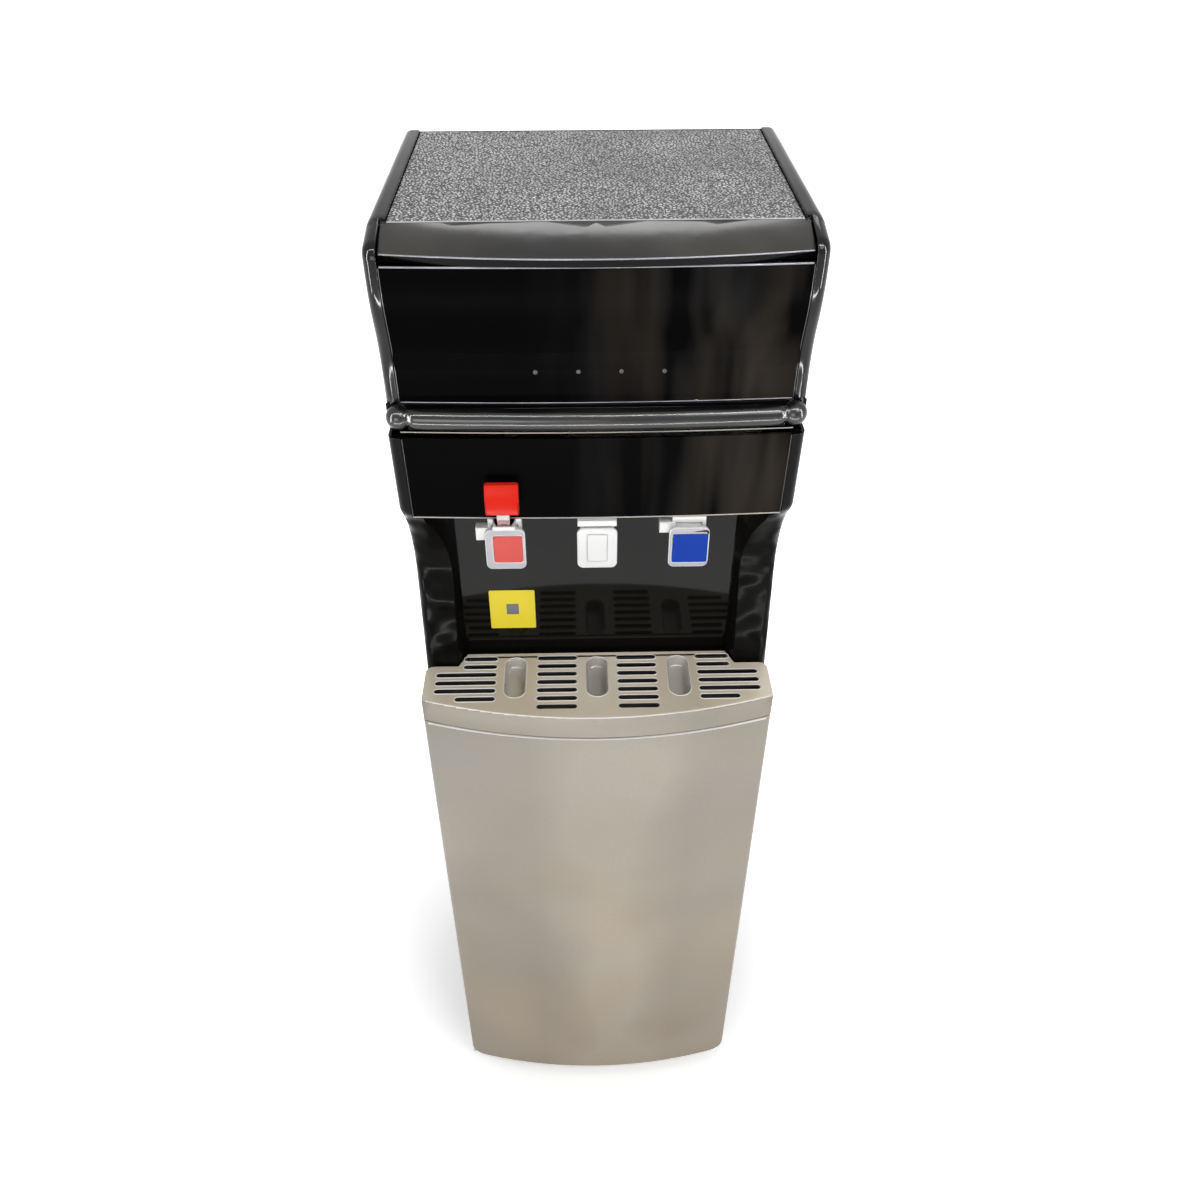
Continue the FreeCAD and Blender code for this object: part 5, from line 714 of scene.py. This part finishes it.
def oval_cup(across):
    """A shallow cup in a hole: up its outside, over the rim and down its inside.

    Each step is the half width, the half length and the level.
    """
    outside = [(2.0, 18.5, 609.0), (7.4, 23.9, 609.3), (8.8, 25.3, 611.4), (9.45, 25.95, 617.8)]
    rim = [(9.45, 25.95, 619.2), (9.3, 25.8, 619.6), (8.9, 25.4, 619.6), (8.5, 25.0, 618.9)]
    inside = [(8.0, 24.5, 612.0), (7.0, 23.5, 610.4), (5.0, 21.5, 609.9), (2.0, 18.5, 609.8)]
    return skin([oval(across, *step) for step in outside + rim + inside])


cover = softened("drip_cover", 0.5, wanted=on_rim)
# painted light on the cover's top faces
paint(cover, "cover_top_painted_light", lambda centre, normal: normal.z > 0.5 and centre.z > COVER_TOP - 1)
paint(cover, "slot_shade", in_slot)
# painted highlight: pale lips round the slots and holes
lips = solid("slot_lips", slot_lips(), angle=80)
finish_piece(lips, "rim_painted_highlight", "drip_grille", slot_of["drip_cover"])
cups = solid("drain_cups", [oval_cup(across) for across in HOLE_PLACES], angle=50)
finish_piece(cups, "frost", "drip_grille", slot_of["drip_cover"])


# The head's panels

PANEL_BOW = 4
(_, _, CONTROL_FOOT), (PANEL_HALF, _, CONTROL_TOP) = box_of("control_panel")
NOSE_REACH, CONTROL_FOOT_REACH = 122.5, 109.5
CURVE_TOP, CURVE_FOOT = 985, 907
CURVE_RISE, CURVE_REACH = CURVE_TOP - CURVE_FOOT, NOSE_REACH - CONTROL_FOOT_REACH
CURVE_RADIUS = (CURVE_RISE ** 2 + CURVE_REACH ** 2) / (CURVE_REACH * 4)
(_, _, LOWER_FOOT), (_, _, LOWER_TOP) = box_of("lower_front_panel")
LOWER_FOOT_REACH, LOWER_LEAN = 115.5, 5


def bowed(across, middle, bow, half):
    """Reach of a bowed front at one place across it."""
    return middle - bow * (across / half) ** 2


def control_reach(level):
    """Reach of the control panel's face at its middle, an S-curve of two arcs."""
    if level >= CURVE_TOP:
        return NOSE_REACH
    if level <= CURVE_FOOT:
        return CONTROL_FOOT_REACH
    if level > (CURVE_TOP + CURVE_FOOT) / 2:
        return NOSE_REACH - CURVE_RADIUS + math.sqrt(CURVE_RADIUS ** 2 - (CURVE_TOP - level) ** 2)
    return CONTROL_FOOT_REACH + CURVE_RADIUS - math.sqrt(CURVE_RADIUS ** 2 - (level - CURVE_FOOT) ** 2)


def lower_reach(level):
    """Reach of the lower front panel's face at its middle, leaning forward towards its top."""
    return LOWER_FOOT_REACH + LOWER_LEAN * (level - LOWER_FOOT) / (LOWER_TOP - LOWER_FOOT)


def bowed_plate(name, reach_at, top, low, node, rows):
    """A gloss panel with a bowed, smooth face and slightly rounded edges."""
    thickness, edge, columns = 3.0, 0.45, 80
    levels = [top - (top - low) * number / rows for number in range(rows + 1)]
    face = [(reach_at(top) - edge, top)]
    face += [(reach_at(level), level) for level in [top - edge] + levels[1:-1] + [low + edge]]
    face += [(reach_at(low) - edge, low)]
    back = [(reach_at(low) - thickness, low), (reach_at(top) - thickness, top)]
    rings = []
    for across in spread_out(PANEL_HALF, columns):
        drawn = edge if abs(across) == PANEL_HALF else 0.0
        outline = [(reach - drawn, level) for reach, level in face] + back
        rings.append([
            (across, -bowed(across, reach, PANEL_BOW, PANEL_HALF), level) for reach, level in outline])
    rings.insert(1, [(edge - PANEL_HALF, depth, level) for _, depth, level in rings[1]])
    rings.insert(-1, [(PANEL_HALF - edge, depth, level) for _, depth, level in rings[-2]])
    piece = solid(name, [skin(rings)], angle=40)
    finish_piece(piece, "panel_black", "cabinet", slot_of[node], node)


bowed_plate("control_face", control_reach, CONTROL_TOP, CONTROL_FOOT, "control_panel", rows=60)
bowed_plate("lower_face", lower_reach, LOWER_TOP, LOWER_FOOT, "lower_front_panel", rows=8)


# The head's brow and bead

(_, _, HEAD_FOOT), (HEAD_HALF, _, _) = box_of("head_cover")
BEAD_LEVEL, BEAD_REACH, BEAD_BOW = 879.7, 126, 6
BALL_ACROSS, BALL_RADIUS = 145.5, 9.4
ROLL_DEPTH, ROLL_HEIGHT = 8.0, 8.3


def bead_rooms():
    """What the bead and its two balls take away from the CAD head."""
    low, outer = HEAD_FOOT - 2, HEAD_HALF + 5
    rooms = [block((-outer, outer), (-140, -116), (low, 890))]
    for side in (-1, 1):
        rooms.append(block((side * 139, side * outer), (-140, -106), (low, CONTROL_FOOT)))
    return rooms


def on_brow(centre, normal):
    in_plan = -131 < centre.y < -86 and abs(centre.x) < 145
    return normal.z > 0.8 and in_plan and 999 < centre.z < 1013


def on_rail(centre, normal):
    return abs(centre.x) > 144.8 and centre.y < -92 and centre.z > 892


def bead_reach(across):
    return bowed(across, BEAD_REACH, BEAD_BOW, HEAD_HALF)


def bead_stations():
    """Across, half depth and half height along one half of the bead and round its ball."""
    taper = [(0, 1), (30, 1), (60, 1), (90, 1), (115, 1), (128, 1),
             (131, 0.99), (133.5, 0.96), (136, 0.92), (138, 0.895), (139.3, 0.88)]
    stations = [(across, ROLL_DEPTH * scale, ROLL_HEIGHT * scale) for across, scale in taper]
    for degrees in range(50, 181, 5):
        turn = math.radians(degrees)
        radius = max(BALL_RADIUS * math.sin(turn), 0.05)
        stations.append((BALL_ACROSS - BALL_RADIUS * math.cos(turn), radius, radius))
    return stations


def bead_rings():
    half = bead_stations()
    rings = []
    for across, depth, height in [(-across, *size) for across, *size in half[::-1]] + half[1:]:
        middle = ROLL_DEPTH - bead_reach(across)
        if abs(across) > BALL_ACROSS - BALL_RADIUS:
            middle = BALL_RADIUS - bead_reach(BALL_ACROSS)
        rings.append([
            (across, middle + depth * math.cos(turn), BEAD_LEVEL + height * math.sin(turn))
            for turn in around(48)])
    return rings


head = softened("head_cover", 1.0, 3, cutters=bead_rooms())
# painted reflection: a lighter, browner black on the brow's upper faces
paint(head, "brow_black", on_brow)
paint(head, "rail_black", on_rail)
bead = solid("bead_roll", [skin(bead_rings())], angle=50)
finish_piece(bead, "bead_black", "cabinet", slot_of["head_cover"])


# Painted highlights: thin pale strips along the edges of the head

(_, INSERT_FRONT, _), (INSERT_HALF, _, INSERT_TOP) = box_of("top_insert")


def strip(name, rise, reach_at, half, radius, look, body, slot, sink):
    """A slim half-sunk bead along a bowed front, at the height rise(across)."""
    path = [(across, sink - reach_at(across), rise(across)) for across in spread_out(half, 60)]
    finish_piece(solid(name, [tube(path, radius, 12)], angle=60), look, body, slot)


def head_line(name, level, middle, bow, half, radius, look, sink, bow_half=PANEL_HALF):
    """A level strip along a front with this reach at its middle and this bow."""
    strip(name, lambda across: level, lambda across: bowed(across, middle, bow, bow_half),
          half, radius, look, "cabinet", slot_of["head_cover"], sink)


def side_lines(name, reach_at, top, low):
    """A hair line of painted highlight down each side of a panel."""
    sink, inset, radius, steps = 0.3, 0.1, 0.45, 40
    levels = [top - (top - low) * number / steps for number in range(steps + 1)]
    parts = []
    for across in (inset - PANEL_HALF, PANEL_HALF - inset):
        path = [(across, PANEL_BOW + sink - reach_at(level), level) for level in levels]
        parts.append(tube(path, radius, 10))
    finish_piece(solid(name, parts, angle=60), "faint_painted_highlight", "cabinet", slot_of["head_cover"])


# pale strips as painted highlights on the head's edges
head_line("lower_foot_highlight", LOWER_FOOT + 0.7, LOWER_FOOT_REACH, PANEL_BOW, 144.5, 0.7, "beige_painted_highlight", 0.3)
head_line("brow_line", 1000.9, 129, 13, 143.5, 0.55, "bright_painted_highlight", 0.35, bow_half=145)
head_line("panel_top_line", CONTROL_TOP - 0.7, NOSE_REACH, PANEL_BOW, 143.8, 0.7, "bright_painted_highlight", 0.4)
head_line("panel_foot_line", CONTROL_FOOT + 0.4, CONTROL_FOOT_REACH, PANEL_BOW, 143.8, 0.5,
          "bright_painted_highlight", 0.25)
head_line("insert_line", INSERT_TOP - 0.1, 0.5 - INSERT_FRONT, 0, INSERT_HALF - 0.5, 0.6,
          "insert_painted_highlight", 0)
head_line("joint_line", HEAD_FOOT - 0.2, 121.6, PANEL_BOW, 144.5, 0.45, "beige_painted_highlight", 0.1)
side_lines("control_sides", control_reach, CONTROL_TOP - 1.5, CONTROL_FOOT + 1.2)
side_lines("lower_sides", lower_reach, LOWER_TOP - 1, LOWER_FOOT + 1.5)


# Painted highlights along the tray's cover and the door's top, and painted shadow under the apron

def door_reach(across):
    return bowed(across, 160, 21.5, 155)


def apron_reach(across):
    return bowed(across, 165, 25.5, 154)


def door_highlight_level(across):
    """The painted highlight drops where the apron stands out over the door, so that it stays in view."""
    return DOOR_TOP - 1 - 0.75 * (apron_reach(across) - door_reach(across))


def apron_shadow_strip():
    """A dark strip under the apron, just behind its face: painted shadow in the gap over the door."""
    inset, thickness, low, high = 0.6, 4, 594.6, 596.2
    rings = []
    for across in spread_out(151.5, 60):
        front = inset - apron_reach(across)
        corners = ((0, low), (0, high), (thickness, high), (thickness, low))
        rings.append([(across, front + depth, level) for depth, level in corners])
    return skin(rings)


# painted highlight: a pale strip for the light on the door's top edge
strip("door_top_highlight", door_highlight_level, door_reach, 150.5, 1.1,
      "pale_painted_highlight", "door", slot_of["door_skin"], sink=0.35)
# painted highlight along the cover's front rim
strip("cover_rim", lambda across: COVER_TOP - 0.75, apron_reach, 150.5, 0.65,
      "rim_painted_highlight", "drip_grille", slot_of["drip_cover"], sink=0.75)
# painted shadow under the apron
apron_shadow = solid("apron_painted_shadow", [apron_shadow_strip()])
finish_piece(apron_shadow, "slot_shade", "drip_grille", slot_of["drip_cover"])


# The label on the rear wall

WALL_DEPTH = -70


def plate(sides, levels, front, thickness, radius):
    """A thin upright plate with rounded corners, facing the front."""
    (left, right), (low, high) = sides, levels
    corners = [(right - radius, high - radius), (left + radius, high - radius),
               (left + radius, low + radius), (right - radius, low + radius)]
    outline = []
    for quarter, (across, level) in enumerate(corners):
        for step in range(5):
            turn = math.radians(quarter * 90 + step * 22.5)
            outline.append((across + radius * math.cos(turn), level + radius * math.sin(turn)))
    return skin([[(across, depth, level) for across, level in outline]
                 for depth in (front, front + thickness)])


label = solid("wall_label", [plate((-95, -54.5), (643, 686), WALL_DEPTH - 0.5, 0.4, 1.2)])
finish_piece(label, "yellow", "cabinet", slot_of["head_cover"])
square = solid("label_square", [plate((-80.1, -69.2), (659.3, 670.9), WALL_DEPTH - 0.7, 0.3, 0.4)])
finish_piece(square, "grey", "cabinet", slot_of["head_cover"])


# The condenser behind

COIL_DEPTH, COIL_RADIUS, COIL_HALF = 160.88, 2.5, 118
COIL_TOP, COIL_PITCH, PASSES = 796, 74, 10
REAR_DEPTH, TAIL_ACROSS, INLET_ACROSS, ELBOW = 137, 96, 80, 8
WIRE_RADIUS, WIRE_PITCH, WIRE_COUNT = 0.8, 16, 14
(_, _, WIRE_FOOT), (_, _, WIRE_TOP) = box_of("condenser_wires")


def coil_path():
    """The coil's tube from its tail in the rear panel up to the inlet's elbow."""
    bend = COIL_PITCH / 2
    foot = COIL_TOP - COIL_PITCH * (PASSES - 1)
    end = COIL_HALF - bend
    before = COIL_DEPTH - ELBOW
    path = [(TAIL_ACROSS, REAR_DEPTH, foot), (TAIL_ACROSS, before, foot)]
    for step in range(1, 7):
        turn = math.radians(step * 15)
        path.append((TAIL_ACROSS - ELBOW * (1 - math.cos(turn)), before + ELBOW * math.sin(turn), foot))
    for number in range(PASSES - 1):
        side = -1 if number % 2 == 0 else 1
        middle = foot + COIL_PITCH * number + bend
        for step in range(17):
            turn = math.radians(-90 + step * 11.25)
            path.append((side * (end + bend * math.cos(turn)), COIL_DEPTH, middle + bend * math.sin(turn)))
    for step in range(7):
        turn = math.radians(90 - step * 15)
        across = INLET_ACROSS - ELBOW + ELBOW * math.cos(turn)
        path.append((across, COIL_DEPTH, COIL_TOP - ELBOW + ELBOW * math.sin(turn)))
    path.append((INLET_ACROSS, COIL_DEPTH, COIL_TOP - ELBOW * 2))
    return path


def wire_tubes():
    """Two layers of upright wires, in front of the coil and behind it."""
    first = -WIRE_PITCH * (WIRE_COUNT - 1) / 2
    tubes = []
    for layer in (-1, 1):
        depth = COIL_DEPTH + layer * (COIL_RADIUS + WIRE_RADIUS)
        for number in range(WIRE_COUNT):
            across = first + WIRE_PITCH * number
            levels = (WIRE_FOOT, (WIRE_FOOT + WIRE_TOP) / 2, WIRE_TOP)
            tubes.append(tube([(across, depth, level) for level in levels], WIRE_RADIUS, 10))
    return tubes


coil = solid("condenser_tube", [tube(coil_path(), COIL_RADIUS)], angle=60)
finish_piece(coil, "side_black", "cabinet", slot_of["condenser_coil"], "condenser_coil")
rods = solid("condenser_rods", wire_tubes(), angle=60)
finish_piece(rods, "side_black", "cabinet", slot_of["condenser_wires"], "condenser_wires")


# Stage, light and camera

def area(name, place, aim, size, power, card=False):
    """A soft lamp; a card is seen only in reflections and lights nothing matt."""
    data = bpy.data.lights.new(name, "AREA")
    data.shape = "RECTANGLE"
    data.size, data.size_y = size
    data.energy = power
    lamp = new_object(name, data)
    lamp.location = place
    lamp.rotation_euler = (Vector(aim) - Vector(place)).to_track_quat("-Z", "Y").to_euler()
    lamp.visible_camera = False
    lamp.visible_diffuse = not card


def seen_or_mirrored(tree):
    """1 for camera, glossy and transmission rays, otherwise 0."""
    rays = tree.nodes.new("ShaderNodeLightPath").outputs
    total = rays["Is Camera Ray"]
    for kind in ("Is Glossy Ray", "Is Transmission Ray"):
        item = tree.nodes.new("ShaderNodeMath")
        item.operation = "MAXIMUM"
        tree.links.new(total, item.inputs[0])
        tree.links.new(rays[kind], item.inputs[1])
        total = item.outputs[0]
    return total


def set_world():
    """White where it is seen directly or mirrored, and a softer fill for shading."""
    world = bpy.data.worlds.new("studio")
    scene.world = world
    world.use_nodes = True
    tree = world.node_tree
    fill = tree.nodes["Background"]
    fill.inputs["Color"].default_value = (1, 1, 1, 1)
    fill.inputs["Strength"].default_value = 0.42
    seen = tree.nodes.new("ShaderNodeBackground")
    seen.inputs["Color"].default_value = (1, 1, 1, 1)
    seen.inputs["Strength"].default_value = 1.0
    mix = tree.nodes.new("ShaderNodeMixShader")
    tree.links.new(seen_or_mirrored(tree), mix.inputs[0])
    tree.links.new(fill.outputs[0], mix.inputs[1])
    tree.links.new(seen.outputs[0], mix.inputs[2])
    tree.links.new(mix.outputs[0], tree.nodes["World Output"].inputs["Surface"])


def set_floor():
    """A pale floor whose glow is seen but lights nothing; it grows away from the object's shadow."""
    reach = 30.0
    weakest, strongest, near, far = 0.36, 1.2, 0.18, 0.6
    corners = [(-reach, -reach, 0), (reach, -reach, 0), (reach, reach, 0), (-reach, reach, 0)]
    mesh = bpy.data.meshes.new("floor")
    mesh.from_pydata(corners, [], [(0, 1, 2, 3)])
    floor = new_object("floor", mesh)
    shader = Shader("floor", Specular_IOR_Level=0.0)
    shader.colour(shader.greys(shader.noise(4.0), [(0.3, 0.88), (0.7, 0.9)]))
    shader.rough(shader.span(shader.noise(9.0), 0.8, 0.9))
    shader.surface.inputs["Emission Color"].default_value = (1, 1, 1, 1)
    distance = shader.add("ShaderNodeVectorMath", Vector=shader.place)
    distance.operation = "LENGTH"
    level = shader.span(distance.outputs["Value"], weakest, strongest, near, far)
    glow = shader.maths("MULTIPLY", seen_or_mirrored(shader.tree), level)
    shader.tree.links.new(glow, shader.surface.inputs["Emission Strength"])
    mesh.materials.append(shader.material)


def set_camera():
    """The camera, looking down on the object's front."""
    place = (-0.014737, -0.800368, 1.250946)
    heading, tilt, lean = (math.radians(angle) for angle in (-0.910, 50.031, -0.224))
    data = bpy.data.cameras.new("camera")
    data.sensor_width = 36
    data.lens = 31.2906
    data.shift_x, data.shift_y = 0.00616, 0.02505
    camera = new_object("camera", data)
    turn = Matrix.Rotation(heading, 4, "Z") @ Matrix.Rotation(tilt, 4, "X")
    camera.matrix_world = Matrix.Translation(place) @ turn @ Matrix.Rotation(lean, 4, "Z")
    scene.camera = camera


set_world()
set_floor()
set_camera()
area("key", (0.9, -1.3, 2.4), (0, 0, 0.6), (1.0, 1.0), 18)
area("fill", (-0.7, -2.2, 1.1), (0, 0, 0.65), (1.2, 0.8), 14)
area("back", (0.2, 1.5, 2.3), (0, 0, 0.9), (1.4, 0.5), 8)
area("card_top", (0, -1.2, 2.6), (0, -0.1, 0.9), (3.0, 0.07), 38, card=True)
area("card_low", (0, -1.3, 0.1), (0, -0.1, 0.9), (2.4, 0.05), 20, card=True)
area("card_left", (-1.7, -0.9, 1.1), (0, -0.1, 0.8), (0.08, 2.2), 40, card=True)
area("card_right", (1.7, -0.9, 1.1), (0, -0.1, 0.8), (0.08, 2.2), 40, card=True)
scene.view_settings.view_transform = "Standard"
